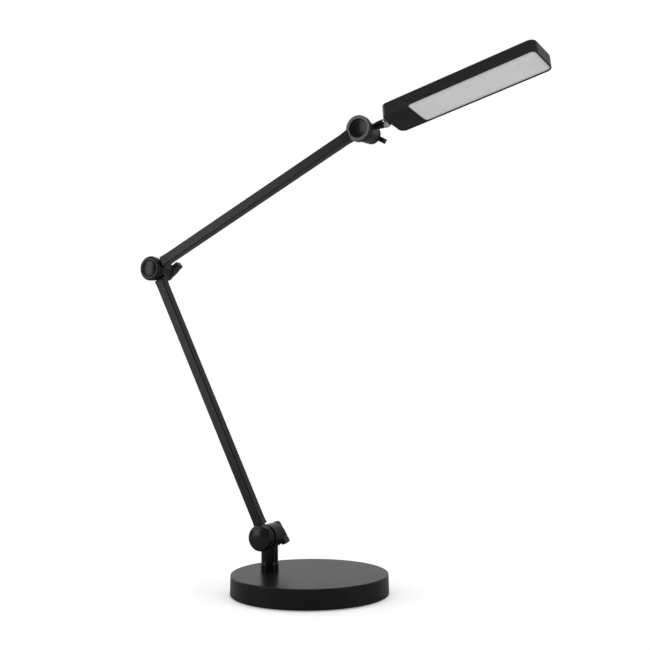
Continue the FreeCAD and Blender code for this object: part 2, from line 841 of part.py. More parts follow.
def knob_turning(joint_name, start, flange_radius):
    """The knob's round body: a flange against the washer, then a waist that narrows to a rounded end."""
    flange_end = start + dim.knob_flange
    end = start + dim.knob_length
    edge = dim.knob_chamfer
    corners = [
        (0, start),
        (flange_radius - edge, start),
        (flange_radius, start + edge),
        (flange_radius, flange_end - edge),
        (flange_radius - edge, flange_end),
        (dim.knob_waist_radius, flange_end),
        (dim.knob_end_radius, end - edge),
        (dim.knob_end_radius - edge, end),
        (0, end),
    ]
    return turned_about_y(f"{joint_name}KnobTurning", corners)


def knob_wings(joint_name, start):
    """A flat blade across the end of the knob that gives it two wings, with a bowed crest and rounded tips."""
    span = dim.wing_half_span
    corner = dim.wing_corner
    flat = span - corner
    shoulder = start + dim.wing_height - dim.wing_sweep
    bow = (flat * flat + dim.wing_sweep * dim.wing_sweep) / (2 * dim.wing_sweep)
    root = dim.knob_waist_radius / 2
    root_start = start + dim.knob_flange - 0.5
    inner = start + dim.wing_inner_height
    side = [
        (-span, shoulder - corner, corner),
        (-flat, shoulder, bow),
        (flat, shoulder, corner),
        (span, shoulder - corner),
        (span, inner),
        (root, root_start),
        (-root, root_start),
        (-span, inner),
    ]
    blade = padded(f"{joint_name}Wings", "XY_Plane", side, dim.wing_thickness)
    crest = float(bow)
    return round_edges(blade, dim.wing_edge_round, lambda edge: is_arc_of(edge, crest))


def is_arc_of(edge, radius):
    """Whether an edge is a circular arc of one radius."""
    return not edge.Degenerated and isinstance(edge.Curve, Part.Circle) and abs(edge.Curve.Radius - radius) < 1e-4


def wing_knob(joint_name, joint, angle, barrel_end, flange_radius):
    """Moulded wing knob on a brass insert, which clamps the joint."""
    start = barrel_end + dim.thrust_washer + dim.face_gap
    body = fuse(f"{joint_name}KnobBody", knob_turning(joint_name, start, flange_radius), knob_wings(joint_name, start))
    insert_end = start + dim.insert_length
    pocket = cylinder(f"{joint_name}KnobPocket", dim.insert_radius, start - 1, insert_end, along="y")
    tip_end = barrel_end + dim.bolt_beyond + 0.6
    tip_bore = cylinder(f"{joint_name}KnobBore", dim.bolt_radius + 0.3, insert_end - 1, tip_end, along="y")
    is_subpart(f"{joint_name}_knob", at_joint(cut(f"{joint_name}Knob", body, pocket, tip_bore), joint, angle))
    sleeve = cylinder(f"{joint_name}InsertBody", dim.insert_radius, start, insert_end, along="y")
    bore = cylinder(f"{joint_name}InsertBore", dim.bolt_radius + dim.fit, start - 1, insert_end + 1, along="y")
    insert = cut(f"{joint_name}Insert", sleeve, bore)
    is_subpart(f"{joint_name}_knob_insert", at_joint(insert, joint, angle))


# ---------------------------------------------------------------------------------------------------------------
# Arms: square tubes with moulded end fittings
# ---------------------------------------------------------------------------------------------------------------


def fitting_block(name, arm_y, start, seam):
    """The square part of an end fitting, flush with its tube, and the spigot that goes inside the tube."""
    half = dim.tube_side / 2
    flare = dim.fitting_flare * (seam - start) / seam
    side = [(start, -half - flare), (seam, -half), (seam, half), (start, half + flare)]
    socket = padded(f"{name}Socket", "XZ_Plane", side, dim.tube_side)
    round_edges(socket, dim.tube_corner, is_lengthwise)
    move(socket, 0, arm_y)
    inner = half - dim.tube_wall - dim.spigot_clearance
    spigot = block(f"{name}Spigot", (seam - 1, seam + dim.spigot_length), (arm_y - inner, arm_y + inner), (-inner, inner))
    return fuse(f"{name}Square", socket, spigot)


def is_lengthwise(edge):
    """Whether an edge runs along an arm, straight or at the slight slope of a flared fitting."""
    return not edge.Degenerated and abs(edge.tangentAt(edge.FirstParameter).x) > 0.9


def square(centre, half):
    return [(centre - half, -half), (centre + half, -half), (centre + half, half), (centre - half, half)]


def lead_way(name, arm_y, start, seam):
    """The hole for the lead along a fitting."""
    return cylinder(f"{name}LeadWay", dim.lead_bore, start, seam + dim.spigot_length + 1, along="x", at=(arm_y, 0))


def near_hub(name, front, front_round):
    """Hub on the cap's side of a joint: a wide rim round the bolt's recess, and a narrower neck behind it."""
    corners = [
        (dim.bolt_radius + dim.fit, dim.bolt_seat),
        (dim.recess_radius, dim.bolt_seat),
        (dim.recess_radius, front),
        (dim.hub_radius, front),
        (dim.hub_radius, dim.hub_step),
        (dim.neck_radius, dim.hub_step + 1),
        (dim.neck_radius, dim.lap_front),
        (dim.bolt_radius + dim.fit, dim.lap_front),
    ]
    body = turned_about_y(f"{name}Hub", corners)
    return round_edges(body, front_round, is_circle_at(dim.hub_radius, front, "y"))


def flared_web(name, start, seam, front, back):
    """The flat web between a hub and the square part of its fitting, which narrows towards the tube."""
    half = dim.tube_side / 2
    flare = dim.fitting_flare * (seam - start - 1) / seam
    root = half + dim.fitting_flare
    side = [(0, -root), (start + 1, -half - flare), (start + 1, half + flare), (0, root)]
    return move(padded(name, "XZ_Plane", side, back - front), 0, (front + back) / 2)


def near_fitting(label, joint, angle, arm_y, start, seam, front, front_round):
    """End fitting whose hub lies on the cap's side, joined to its square part by a web as thick as the hub's neck."""
    name = label.title().replace("_", "")
    web = flared_web(f"{name}Web", start, seam, dim.hub_step, dim.lap_front)
    hollow = cylinder(f"{name}Clear", dim.recess_radius, front - 1, dim.bolt_seat, along="y")
    bolt_bore = cylinder(f"{name}BoltBore", dim.bolt_radius + dim.fit, front, dim.lap_front + 1, along="y")
    solid = cut(f"{name}Arm", fuse(f"{name}Webbed", web, fitting_block(name, arm_y, start, seam)), hollow, bolt_bore)
    body = fuse(f"{name}Body", near_hub(name, front, front_round), solid)
    is_subpart(label, at_joint(cut(name, body, lead_way(name, arm_y, start, seam)), joint, angle))


def far_fitting(label, joint, angle, arm_y, start, seam, radius):
    """End fitting with the barrel on the knob's side."""
    name = label.title().replace("_", "")
    end = dim.elbow_barrel_end
    barrel = turned_about_y(f"{name}Barrel", barrel_profile(radius, radius, end))
    web = flared_web(f"{name}Web", start, seam, barrel_front, arm_y + dim.tube_side / 2)
    body = fuse(f"{name}Body", barrel, web, fitting_block(name, arm_y, start, seam))
    bolt_bore = cylinder(f"{name}BoltBore", dim.bolt_radius + dim.fit, barrel_front - 1, end + 1, along="y")
    cut_body = cut(name, body, bolt_bore, lead_way(name, arm_y, start, seam))
    is_subpart(label, at_joint(cut_body, joint, angle))


def arm_tube(label, joint, angle, arm_y, start, end):
    """Square steel tube between the seams of its two fittings."""
    name = label.title().replace("_", "")
    half = dim.tube_side / 2
    outer = padded(f"{name}Outer", "YZ_Plane", square(arm_y, half), end - start, both_ways=False)
    round_edges(outer, dim.tube_corner, is_along(X_AXIS))
    move(outer, start)
    inside = half - dim.tube_wall
    bore = block(f"{name}Bore", (start - 1, end + 1), (arm_y - inside, arm_y + inside), (-inside, inside))
    is_subpart(label, at_joint(cut(name, outer, bore), joint, angle))


def arm_lead(label, joint, angle, arm_y, start, end):
    """The lead's run along one arm."""
    run = cylinder(label.title().replace("_", ""), dim.lead_radius, start, end, along="x", at=(arm_y, 0))
    is_subpart(label, at_joint(run, joint, angle))


# ---------------------------------------------------------------------------------------------------------------
# Bracket and ball joint of the head
# ---------------------------------------------------------------------------------------------------------------


def head_bracket():
    """Barrel on the head joint's axis, with a short stem above the axis that carries the ball cup on a pin."""
    profile = barrel_profile(dim.head_barrel_radius, dim.head_barrel_end_radius, dim.barrel_end)
    barrel = turned_about_y("BracketBarrel", profile)
    at = (dim.stem_shift, dim.stem_rise)
    stem_end = dim.stem_reach - dim.stem_end
    stem = cylinder("Stem", dim.stem_radius, 0, stem_end, along="x", at=at)
    pin = cylinder("StemPin", dim.stem_pin_radius, 0, dim.stem_reach - dim.stem_pin_end, along="x", at=at)
    body = fuse("BracketBody", barrel, stem, pin)
    bore = cylinder("BracketBore", dim.bolt_radius + dim.fit, barrel_front - 1, dim.barrel_end + 1, along="y")
    is_subpart("head_bracket", at_joint(cut("Bracket", body, bore), HEAD_JOINT, -dim.head_tilt))


def ball_cup():
    """Cone-shaped cup that turns on the stem's pin and holds the ball."""
    back = -dim.stem_end + dim.face_gap
    hollow = dim.ball_radius + dim.ball_clearance
    bore = dim.stem_pin_radius + dim.fit
    corners = [
        (0, -dim.stem_pin_end + 0.5),
        (0, -hollow, -hollow),
        (on_circle(hollow, dim.cup_rim), dim.cup_rim),
        (dim.cup_rim_radius, dim.cup_rim),
        (dim.cup_root_radius, back),
        (bore, back),
        (bore, -dim.stem_pin_end + 0.5),
    ]
    cup = turn(turned("CupTurning", corners), Y_AXIS, 90)
    half = dim.tongue_half
    thick = dim.tongue_thickness / 2
    tongue = block("Tongue", (-hollow - 0.6, 0), (-half, half), (-thick, thick))
    tongue_end = cylinder("TongueEnd", half, -thick, thick)
    hole = cylinder("TongueHole", dim.hinge_pin_radius + dim.fit, -5, 5)
    piece = cut("Cup", fuse("CupBody", cup, tongue, tongue_end), hole)
    is_subpart("ball_cup", about_ball(piece, ball_turn()))


def ball_turn(pan=0):
    """The turn of the head's bracket, then the cup's twist about the stem, then the head's pan about the pin."""
    tilted = FreeCAD.Rotation(Y_AXIS, -float(dim.head_tilt))
    twisted = FreeCAD.Rotation(X_AXIS, float(dim.head_twist))
    return tilted.multiply(twisted).multiply(FreeCAD.Rotation(Z_AXIS, float(pan)))


def about_ball(thing, rotation, x=0, z=0):
    """Set a piece at a turned place about the ball's centre."""
    carrier = doc.addObject("Part::Compound", f"{thing.Name}_placed")
    carrier.Links = [thing]
    centre = FreeCAD.Vector(float(ball_x), float(ball_y), float(ball_z))
    carrier.Placement = FreeCAD.Placement(centre + rotation.multVec(FreeCAD.Vector(float(x), 0, float(z))), rotation)
    return carrier


def on_circle(radius, height):
    """The half-width of a circle at a height above its centre."""
    half = math.sqrt(float(radius) ** 2 - float(height) ** 2)
    return Size(half, f"sqrt(({radius.formula}) ^ 2 - ({Size.of(height).formula}) ^ 2)")


# ---------------------------------------------------------------------------------------------------------------
# Lamp head
# ---------------------------------------------------------------------------------------------------------------

# In the head's own frame the ball lies before the joint end, at a fixed height above the lower face.
half_width = dim.head_width / 2
cavity_top = dim.head_thickness - dim.head_top_wall
spreader_low = cavity_top - dim.spreader_thickness
led_board_low = spreader_low - dim.led_board_thickness
lens_top = dim.panel_inset + dim.panel_thickness + dim.lens_thickness
driver_top = cavity_top - dim.driver_post
driver_low = driver_top - dim.driver_thickness


def on_head(thing):
    """Set a piece from the head's own frame on the ball."""
    return about_ball(thing, ball_turn(dim.head_pan), dim.head_gap, -dim.ball_height)


def slab(name, x, y_half, z, corner):
    """A plate with rounded corners, from its limits in the head's frame."""
    corners = [(x[0], -y_half), (x[1], -y_half), (x[1], y_half), (x[0], y_half)]
    body = padded(name, "XY_Plane", corners, Size.of(z[1]) - z[0], both_ways=False)
    round_edges(body, corner, is_along(Z_AXIS))
    return move(body, 0, 0, z[0])


def head_housing():
    """Long flat housing, open below, with rounded corners and a softened upper edge."""
    outer = slab("HousingOuter", (0, dim.head_length), half_width, (0, dim.head_thickness), dim.head_corner)
    top = float(dim.head_thickness)
    round_edges(outer, dim.head_edge_round, lambda edge: abs(edge.BoundBox.ZMin - top) < 1e-6)
    wall = dim.head_wall
    hollow = slab("HousingHollow", (wall, dim.head_length - wall), half_width - wall, (-1, cavity_top), dim.head_corner - wall)
    shell = cut("HousingShell", outer, hollow)
    posts = [driver_post(number) for number in range(SCREW_COUNT)]
    stud_hole = cylinder("StudHole", dim.stud_radius + 0.1, -1, wall + 1, along="x", at=(0, dim.ball_height))
    button_hole = cylinder("ButtonHole", dim.button_radius + 0.12, cavity_top - 1, dim.head_thickness + 1,
                           at=(dim.button_place, 0))
    screw_holes = [
        cylinder(f"DriverHole{n}", dim.driver_screw_radius, driver_low, cavity_top - 0.2, at=driver_corner(n))
        for n in range(SCREW_COUNT)
    ]
    is_subpart("head_housing", on_head(cut("Housing", fuse("HousingBody", shell, *posts), stud_hole, button_hole,
                                           *screw_holes)))


def driver_corner(number):
    """Where one of the four posts of the driver board stands."""
    inset = dim.driver_post_radius + 0.4
    x = dim.driver_start + inset if number in (0, 3) else dim.driver_start + dim.driver_length - inset
    y = dim.driver_width / 2 - inset
    return (x, -y if number in (0, 1) else y)


def driver_post(number):
    return cylinder(f"DriverPost{number}", dim.driver_post_radius, driver_top, cavity_top + 0.5, at=driver_corner(number))


def head_bezel():
    """Flat frame that closes the underside: a blank panel by the joint, then a thin rim round the diffuser."""
    gap = dim.head_wall + dim.lens_clearance
    top = dim.panel_inset + dim.panel_thickness
    whole = slab("BezelPlate", (gap, dim.head_length - gap), half_width - gap, (dim.panel_inset, top),
                 dim.head_corner - gap)
    window = slab("BezelWindow", (dim.panel_end, dim.head_length - gap - dim.bezel_rim), half_width - gap - dim.bezel_rim,
                  (dim.panel_inset - 1, top + 1), dim.window_corner)
    is_subpart("head_bezel", on_head(cut("Bezel", whole, window)))


def lens():
    """Opal diffuser: a plate behind the bezel with a step that fills the window."""
    gap = dim.head_wall + dim.lens_clearance
    plate_low = dim.panel_inset + dim.panel_thickness
    plate = slab("LensPlate", (dim.panel_end - 2, dim.head_length - gap), half_width - gap, (plate_low, lens_top),
                 dim.head_corner - gap)
    gap = gap + dim.bezel_rim + dim.lens_clearance
    step = slab("LensStep", (dim.panel_end + dim.lens_clearance, dim.head_length - gap), half_width - gap,
                (dim.lens_inset, plate_low + 0.5), dim.window_corner - dim.lens_clearance)
    is_subpart("diffuser", on_head(fuse("Lens", plate, step)))


def reflector():
    """White frame that spaces the diffuser from the light board and closes it off from the driver."""
    gap = dim.head_wall + dim.lens_clearance
    wall = dim.reflector_wall
    outer = slab("ReflectorOuter", (dim.panel_end, dim.head_length - gap), half_width - gap, (lens_top, led_board_low),
                 dim.head_corner - gap)
    inner = slab("ReflectorInner", (dim.panel_end + wall, dim.head_length - gap - wall), half_width - gap - wall,
                 (lens_top - 1, led_board_low + 1), dim.head_corner - gap - wall)
    is_subpart("reflector_frame", on_head(cut("Reflector", outer, inner)))


def light_board():
    """Circuit board with two rows of light-emitting diodes, on an aluminium heat spreader under the top wall."""
    gap = dim.head_wall + dim.lens_clearance
    spreader = slab("SpreaderPlate", (dim.panel_end, dim.head_length - gap), half_width - gap, (spreader_low, cavity_top),
                    dim.head_corner - gap)
    is_subpart("heat_spreader", on_head(spreader))
    board = slab("BoardPlate", (dim.panel_end, dim.head_length - gap), half_width - gap, (led_board_low, spreader_low),
                 dim.head_corner - gap)
    is_subpart("led_board", on_head(board))
    diodes = []
    half = dim.led_side / 2
    for column in range(LED_COLUMNS):
        for side in (-1, 1):
            x = dim.led_first + dim.led_pitch * column
            y = dim.led_row_offset * side
            diodes.append(block(f"Diode{column}_{side + 1}", (x - half, x + half), (y - half, y + half),
                                (led_board_low - dim.led_height, led_board_low)))
    is_subpart("leds", on_head(bundle("Diodes", *diodes)))


def driver_board():
    """Control board on four posts, with its screws and the small switch under the button."""
    start = dim.driver_start
    half = dim.driver_width / 2
    plate = block("DriverPlate", (start, start + dim.driver_length), (-half, half), (driver_low, driver_top))
    holes = [
        cylinder(f"DriverBoardHole{n}", dim.driver_screw_radius + 0.1, driver_low - 1, driver_top + 1, at=driver_corner(n))
        for n in range(SCREW_COUNT)
    ]
    is_subpart("driver_board", on_head(cut("Driver", plate, *holes)))
    screws = []
    for number in range(SCREW_COUNT):
        at = driver_corner(number)
        head = cylinder(f"DriverScrewHead{number}", dim.driver_screw_head, driver_low - 1.2, driver_low, at=at)
        end = driver_low + dim.driver_screw_length
        shank = cylinder(f"DriverScrewShank{number}", dim.driver_screw_radius, driver_low - 1.2, end, at=at)
        screws.append(fuse(f"DriverScrew{number}", head, shank))
    is_subpart("driver_screws", on_head(bundle("DriverScrews", *screws)))


def switch_button():
    """Round push button in the top of the housing, held by a flange under the wall, over a small switch."""
    at = (dim.button_place, 0)
    flange_top = cavity_top - dim.face_gap
    flange_low = flange_top - dim.button_flange
    stalk = cylinder("ButtonTop", dim.button_radius, flange_low, dim.head_thickness + dim.button_proud, at=at)
    flange = cylinder("ButtonFlange", dim.button_flange_radius, flange_low, flange_top, at=at)
    is_subpart("switch_button", on_head(fuse("Button", stalk, flange)))
    half = dim.tact_switch_side / 2
    top = flange_low - dim.button_travel - dim.face_gap
    case = block("SwitchCase", (dim.button_place - half, dim.button_place + half), (-half, half), (driver_top, top))
    is_subpart("tact_switch", on_head(case))


def along_head(thing):
    """Lay a piece that is turned about Z, with the ball's centre at its origin, along the head."""
    return move(turn(thing, Y_AXIS, 90), -dim.head_gap, 0, dim.ball_height)


def ball_stud():
    """Chromed ball with a threaded stud that goes through a collar into the head, and the nut inside."""
    at = (0, dim.ball_height)
    ball_to_stud = on_circle(dim.ball_radius, dim.stud_radius)
    stud = dim.stud_radius
    profile = [
        (0, -dim.ball_radius, -dim.ball_radius),
        (stud, ball_to_stud),
        (stud, dim.head_gap + dim.stud_end),
        (0, dim.head_gap + dim.stud_end),
    ]
    ball = along_head(turned("BallStud", profile))
    reach = -dim.head_gap
    thick = dim.tongue_thickness / 2 + dim.slot_clearance
    low, high = dim.ball_height - thick, dim.ball_height + thick
    slot = block("BallSlot", (reach - 8, reach + dim.tongue_half + 0.2), (-dim.slot_half, dim.slot_half), (low, high))
    half = dim.hinge_pin_half
    span = (dim.ball_height - half, dim.ball_height + half)
    hole = cylinder("BallPinHole", dim.hinge_pin_radius, span[0] - 3, span[1] + 3, at=(reach, 0))
    is_subpart("ball_stud", on_head(cut("SlottedBall", ball, slot, hole)))
    is_subpart("ball_pin", on_head(cylinder("BallPin", dim.hinge_pin_radius, *span, at=(reach, 0))))
    collar_back = dim.head_gap - dim.collar_length
    seat = on_circle(dim.ball_radius, collar_back)
    profile = [
        (stud, ball_to_stud, dim.ball_radius),
        (seat, collar_back),
        (dim.collar_radius, collar_back),
        (dim.collar_radius, dim.head_gap),
        (stud, dim.head_gap),
    ]
    is_subpart("ball_collar", on_head(along_head(turned("Collar", profile))))
    nut = hexagon("StudNutBody", dim.stud_nut_flats, dim.head_wall, dim.head_wall + dim.stud_nut, along="x", at=at)
    nut_hole = cylinder("StudNutHole", dim.stud_radius, -1, dim.stud_end + 1, along="x", at=at)
    is_subpart("stud_nut", on_head(cut("StudNut", nut, nut_hole)))


# ---------------------------------------------------------------------------------------------------------------
# The lamp, put together from the table upwards
# ---------------------------------------------------------------------------------------------------------------

base_cover()
base_ballast()
base_plate()
base_pad()
base_screws()
power_inlet()
swivel_bushing()
base_lead()
post()
swivel_hardware()
post_lead()

for joint_name, joint, wing_angle, barrel_end, flange_radius in (
    ("base_joint", BASE_JOINT, dim.base_wing_angle, dim.barrel_end, dim.knob_flange_radius),
    ("elbow", ELBOW, dim.elbow_wing_angle, dim.elbow_barrel_end, dim.elbow_flange_radius),
    ("head_joint", HEAD_JOINT, dim.head_wing_angle, dim.barrel_end, dim.knob_flange_radius),
):
    joint_bolt(joint_name, joint, barrel_end)
    friction_ring(joint_name, joint)
    thrust_washer(joint_name, joint, barrel_end)
    wing_knob(joint_name, joint, wing_angle, barrel_end, flange_radius)

joint_cap("base_joint", BASE_JOINT)
joint_cap("elbow", ELBOW)
plug_front = dim.bolt_seat - dim.bolt_head - dim.plug_thickness
plug = cylinder("Plug", dim.recess_radius - 0.1, plug_front, dim.bolt_seat - dim.bolt_head, along="y")
is_subpart("head_joint_plug", at_joint(plug, HEAD_JOINT, 0))

near_fitting("lower_arm_foot", BASE_JOINT, FOOT_TURN, dim.lower_arm_y, dim.foot_block, dim.foot_seam,
             dim.hub_front, dim.hub_round)
far_fitting("lower_arm_head", ELBOW, ELBOW_LOWER_TURN, dim.lower_arm_y, dim.elbow_lower_block, dim.elbow_lower_seam,
            dim.elbow_barrel_radius)
arm_tube("lower_arm_tube", BASE_JOINT, FOOT_TURN, dim.lower_arm_y, dim.foot_seam,
         dim.lower_length - dim.elbow_lower_seam)
near_fitting("upper_arm_foot", ELBOW, ELBOW_UPPER_TURN, dim.upper_arm_y, dim.elbow_upper_block, dim.elbow_upper_seam,
             dim.hub_front, dim.hub_round)
near_fitting("upper_arm_head", HEAD_JOINT, HEAD_END_TURN, dim.upper_arm_y, dim.head_block, dim.head_seam,
             dim.ring_front, dim.ring_round)
arm_tube("upper_arm_tube", ELBOW, ELBOW_UPPER_TURN, dim.upper_arm_y, dim.elbow_upper_seam,
         dim.upper_length - dim.head_seam)
arm_lead("lower_arm_lead", BASE_JOINT, FOOT_TURN, dim.lower_arm_y, dim.foot_seam - 4,
         dim.lower_length - dim.elbow_lower_seam + 4)
arm_lead("upper_arm_lead", ELBOW, ELBOW_UPPER_TURN, dim.upper_arm_y, dim.elbow_upper_seam - 4,
         dim.upper_length - dim.head_seam + 4)

head_bracket()
ball_cup()
ball_stud()
head_housing()
head_bezel()
lens()
reflector()
light_board()
driver_board()
switch_button()

# ---------------------------------------------------------------------------------------------------------------
# Check every object, then write each sub-part to its own file
# ---------------------------------------------------------------------------------------------------------------

doc.recompute()
for item in doc.Objects:
    if "Invalid" in item.State or "Error" in item.State:
        raise RuntimeError(f"{item.Name} did not compute: {item.State}")

os.makedirs("parts", exist_ok=True)
for item in subparts:
    if item.Shape.isNull() or not item.Shape.isValid():
        raise RuntimeError(f"{item.Label} has no valid shape")
    item.Shape.exportStep(f"parts/{item.Label}.step")
    print(f"{item.Label}: {len(item.Shape.Solids)} solids, {item.Shape.Volume:.1f} mm3")
print(len(subparts), "sub-parts")
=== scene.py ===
import math

import bmesh
import bpy
from mathutils import Matrix, Vector


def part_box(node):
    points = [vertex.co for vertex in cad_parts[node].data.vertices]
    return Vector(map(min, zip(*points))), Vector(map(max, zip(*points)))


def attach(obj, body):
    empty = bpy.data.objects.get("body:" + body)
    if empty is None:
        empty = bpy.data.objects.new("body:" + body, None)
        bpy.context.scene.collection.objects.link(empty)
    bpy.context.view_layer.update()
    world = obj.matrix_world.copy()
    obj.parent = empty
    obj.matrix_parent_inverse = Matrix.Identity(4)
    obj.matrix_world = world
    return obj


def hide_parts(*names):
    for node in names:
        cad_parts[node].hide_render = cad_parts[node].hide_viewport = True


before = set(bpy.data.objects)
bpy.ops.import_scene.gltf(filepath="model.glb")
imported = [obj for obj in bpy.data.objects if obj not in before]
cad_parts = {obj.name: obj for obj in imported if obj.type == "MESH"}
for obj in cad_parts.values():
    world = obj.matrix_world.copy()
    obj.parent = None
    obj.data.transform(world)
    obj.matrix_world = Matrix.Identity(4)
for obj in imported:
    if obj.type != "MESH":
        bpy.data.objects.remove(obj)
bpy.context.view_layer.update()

# The studio: a pale floor that keeps the lamp's shadow, a white backdrop that is only colour,
# and four soft boxes round and over it. The floor has a hole where the base covers it, so
# that light reaches the underside in views from below. None of it belongs to the lamp.


class Wire:
    """The output of a shader node, which Python's own operators can be used on."""

    def __init__(self, nodes, socket):
        self.nodes = nodes
        self.socket = socket

    def maths(self, operation, *values):
        values = dict(enumerate(values))
        return self.nodes.add("ShaderNodeMath", {"operation": operation}, values)

    def __add__(self, other):
        return self.maths("ADD", self, other)

    def __sub__(self, other):
        return self.maths("SUBTRACT", self, other)

    def __rsub__(self, other):
        return self.maths("SUBTRACT", other, self)

    def __mul__(self, other):
        return self.maths("MULTIPLY", self, other)

    def __truediv__(self, other):
        return self.maths("DIVIDE", self, other)

    def __pow__(self, other):
        return self.maths("POWER", self, other)

    def __abs__(self):
        return self.maths("ABSOLUTE", self)


class Nodes:
    """The node tree of a material or of the world, emptied and ready to be built."""

    def __init__(self, owner):
        owner.use_nodes = True
        self.owner = owner
        self.tree = owner.node_tree
        self.tree.nodes.clear()

    def add(self, kind, settings=None, sockets=None, output=0):
        node = self.tree.nodes.new(kind)
        for name, value in (settings or {}).items():
            setattr(node, name, value)
        for name, value in (sockets or {}).items():
            if isinstance(value, Wire):
                self.tree.links.new(value.socket, node.inputs[name])
            else:
                node.inputs[name].default_value = value
        if not len(node.outputs):
            return None
        return Wire(self, node.outputs[output])

    def mixed(self, share, first, second):
        settings = {"data_type": "RGBA", "clamp_factor": True}
        return self.add("ShaderNodeMix", settings, {0: share, 6: first, 7: second}, 2)

    def noise(self, place, scale, detail=2.0):
        sockets = {"Vector": place, "Scale": scale, "Detail": detail}
        return self.add("ShaderNodeTexNoise", {}, sockets, "Fac")

    def bump(self, height, strength, distance):
        sockets = {"Strength": strength, "Distance": distance, "Height": height}
        return self.add("ShaderNodeBump", {}, sockets)

    def surface(self, sockets):
        """Closes a material with one principled shader and returns the material."""
        shader = self.add("ShaderNodeBsdfPrincipled", {}, sockets)
        self.add("ShaderNodeOutputMaterial", {}, {"Surface": shader})
        return self.owner


studio = Nodes(bpy.data.worlds.new("studio"))
bpy.context.scene.world = studio.owner
ray = {
    name: studio.add("ShaderNodeLightPath", {}, {}, f"Is {name} Ray")
    for name in ("Camera", "Glossy", "Transmission")
}
bearing = studio.add("ShaderNodeTexCoord", {}, {}, "Generated")
towards_backdrop = studio.add(
    "ShaderNodeVectorMath",
    {"operation": "DOT_PRODUCT"},
    {0: bearing, 1: Vector((-0.47, 0.88, 0.10))},
    "Value",
)
behind = studio.add(
    "ShaderNodeMapRange",
    {"interpolation_type": "SMOOTHSTEP"},
    {
        "Value": towards_backdrop,
        "From Min": 0.05,
        "From Max": 0.90,
        "To Min": 0.05,
        "To Max": 0.62,
    },
)
seen = ray["Camera"]
mirrored = ray["Glossy"] + ray["Transmission"]
strength = seen + (1 - seen) * (mirrored * behind + (1 - mirrored) * 0.48)
sky = studio.add("ShaderNodeBackground", {}, {"Color": (1, 1, 1, 1), "Strength": strength})
studio.add("ShaderNodeOutputWorld", {}, {"Surface": sky})

floor_hole_radius = 0.090
floor_drop = 0.0003
floor_spread = 66.0
bpy.ops.object.select_all(action="DESELECT")
bpy.ops.mesh.primitive_circle_add(
    vertices=96, radius=floor_hole_radius, location=(0, 0, -floor_drop)
)
floor = bpy.context.object
floor.name = "studio_floor"
bpy.ops.object.mode_set(mode="EDIT")
bpy.ops.mesh.select_all(action="SELECT")
bpy.ops.mesh.extrude_edges_move()
bpy.ops.transform.resize(value=(floor_spread, floor_spread, 1.0))
bpy.ops.mesh.select_all(action="SELECT")
bpy.ops.mesh.normals_make_consistent(inside=False)
bpy.ops.object.mode_set(mode="OBJECT")
if floor.data.polygons[0].normal.z < 0:
    floor.data.flip_normals()
shadow_fades_from = 0.15
shadow_gone_at = 0.55
paper = Nodes(bpy.data.materials.new("floor_paper"))
lit = paper.add("ShaderNodeBsdfDiffuse", {}, {"Color": (0.86, 0.86, 0.86, 1)})
white_light = paper.add("ShaderNodeEmission", {}, {"Color": (1, 1, 1, 1), "Strength": 1.0})
lift = paper.add("ShaderNodeEmission", {}, {"Color": (1, 1, 1, 1), "Strength": 0.30})
near = paper.add("ShaderNodeAddShader", {}, {0: lit, 1: lift})
spot_on_floor = paper.add("ShaderNodeTexCoord", {}, {}, "Object")
from_lamp = paper.add(
    "ShaderNodeVectorMath", {"operation": "LENGTH"}, {0: spot_on_floor}, "Value"
)
away = paper.add(
    "ShaderNodeMapRange",
    {"interpolation_type": "SMOOTHSTEP"},
    {
        "Value": from_lamp,
        "From Min": shadow_fades_from,
        "From Max": shadow_gone_at,
        "To Min": 0.0,
        "To Max": 1.0,
    },
)
shown = paper.add("ShaderNodeMixShader", {}, {0: away, 1: near, 2: white_light})
seen_by_camera = paper.add("ShaderNodeLightPath", {}, {}, "Is Camera Ray")
seen_in_metal = paper.add("ShaderNodeLightPath", {}, {}, "Is Glossy Ray")
grey_sheet = paper.add("ShaderNodeBsdfDiffuse", {}, {"Color": (0.34, 0.34, 0.34, 1)})
unseen = paper.add("ShaderNodeMixShader", {}, {0: seen_in_metal, 1: lit, 2: grey_sheet})
above = paper.add("ShaderNodeMixShader", {}, {0: seen_by_camera, 1: unseen, 2: shown})
clear = paper.add("ShaderNodeBsdfTransparent", {}, {})
from_below = paper.add("ShaderNodeNewGeometry", {}, {}, "Backfacing")
paper_surface = paper.add("ShaderNodeMixShader", {}, {0: from_below, 1: above, 2: clear})
paper.add("ShaderNodeOutputMaterial", {}, {"Surface": paper_surface})
floor.data.materials.append(paper.owner)

bpy.context.scene.view_settings.view_transform = "Standard"

lamp_middle = Vector((0.03, -0.01, 0.30))
for name, place, size, power in (
    ("front_left_soft_box", (-1.25, -1.45, 0.60), (0.8, 1.4), 7.0),
    ("left_soft_box", (-1.70, 0.25, 0.70), (0.7, 1.4), 4.5),
    ("right_soft_box", (1.60, 0.15, 0.70), (0.7, 1.4), 5.0),
    ("top_soft_box", (0.05, 0.15, 2.10), (1.6, 1.2), 14.0),
):
    bpy.ops.object.light_add(type="AREA", location=place)
    lamp = bpy.context.object
    lamp.name = name
    lamp.data.shape = "RECTANGLE"
    lamp.data.size, lamp.data.size_y = size
    lamp.data.energy = power
    aim = lamp_middle - Vector(place)
    lamp.rotation_euler = aim.to_track_quat("-Z", "Y").to_euler()

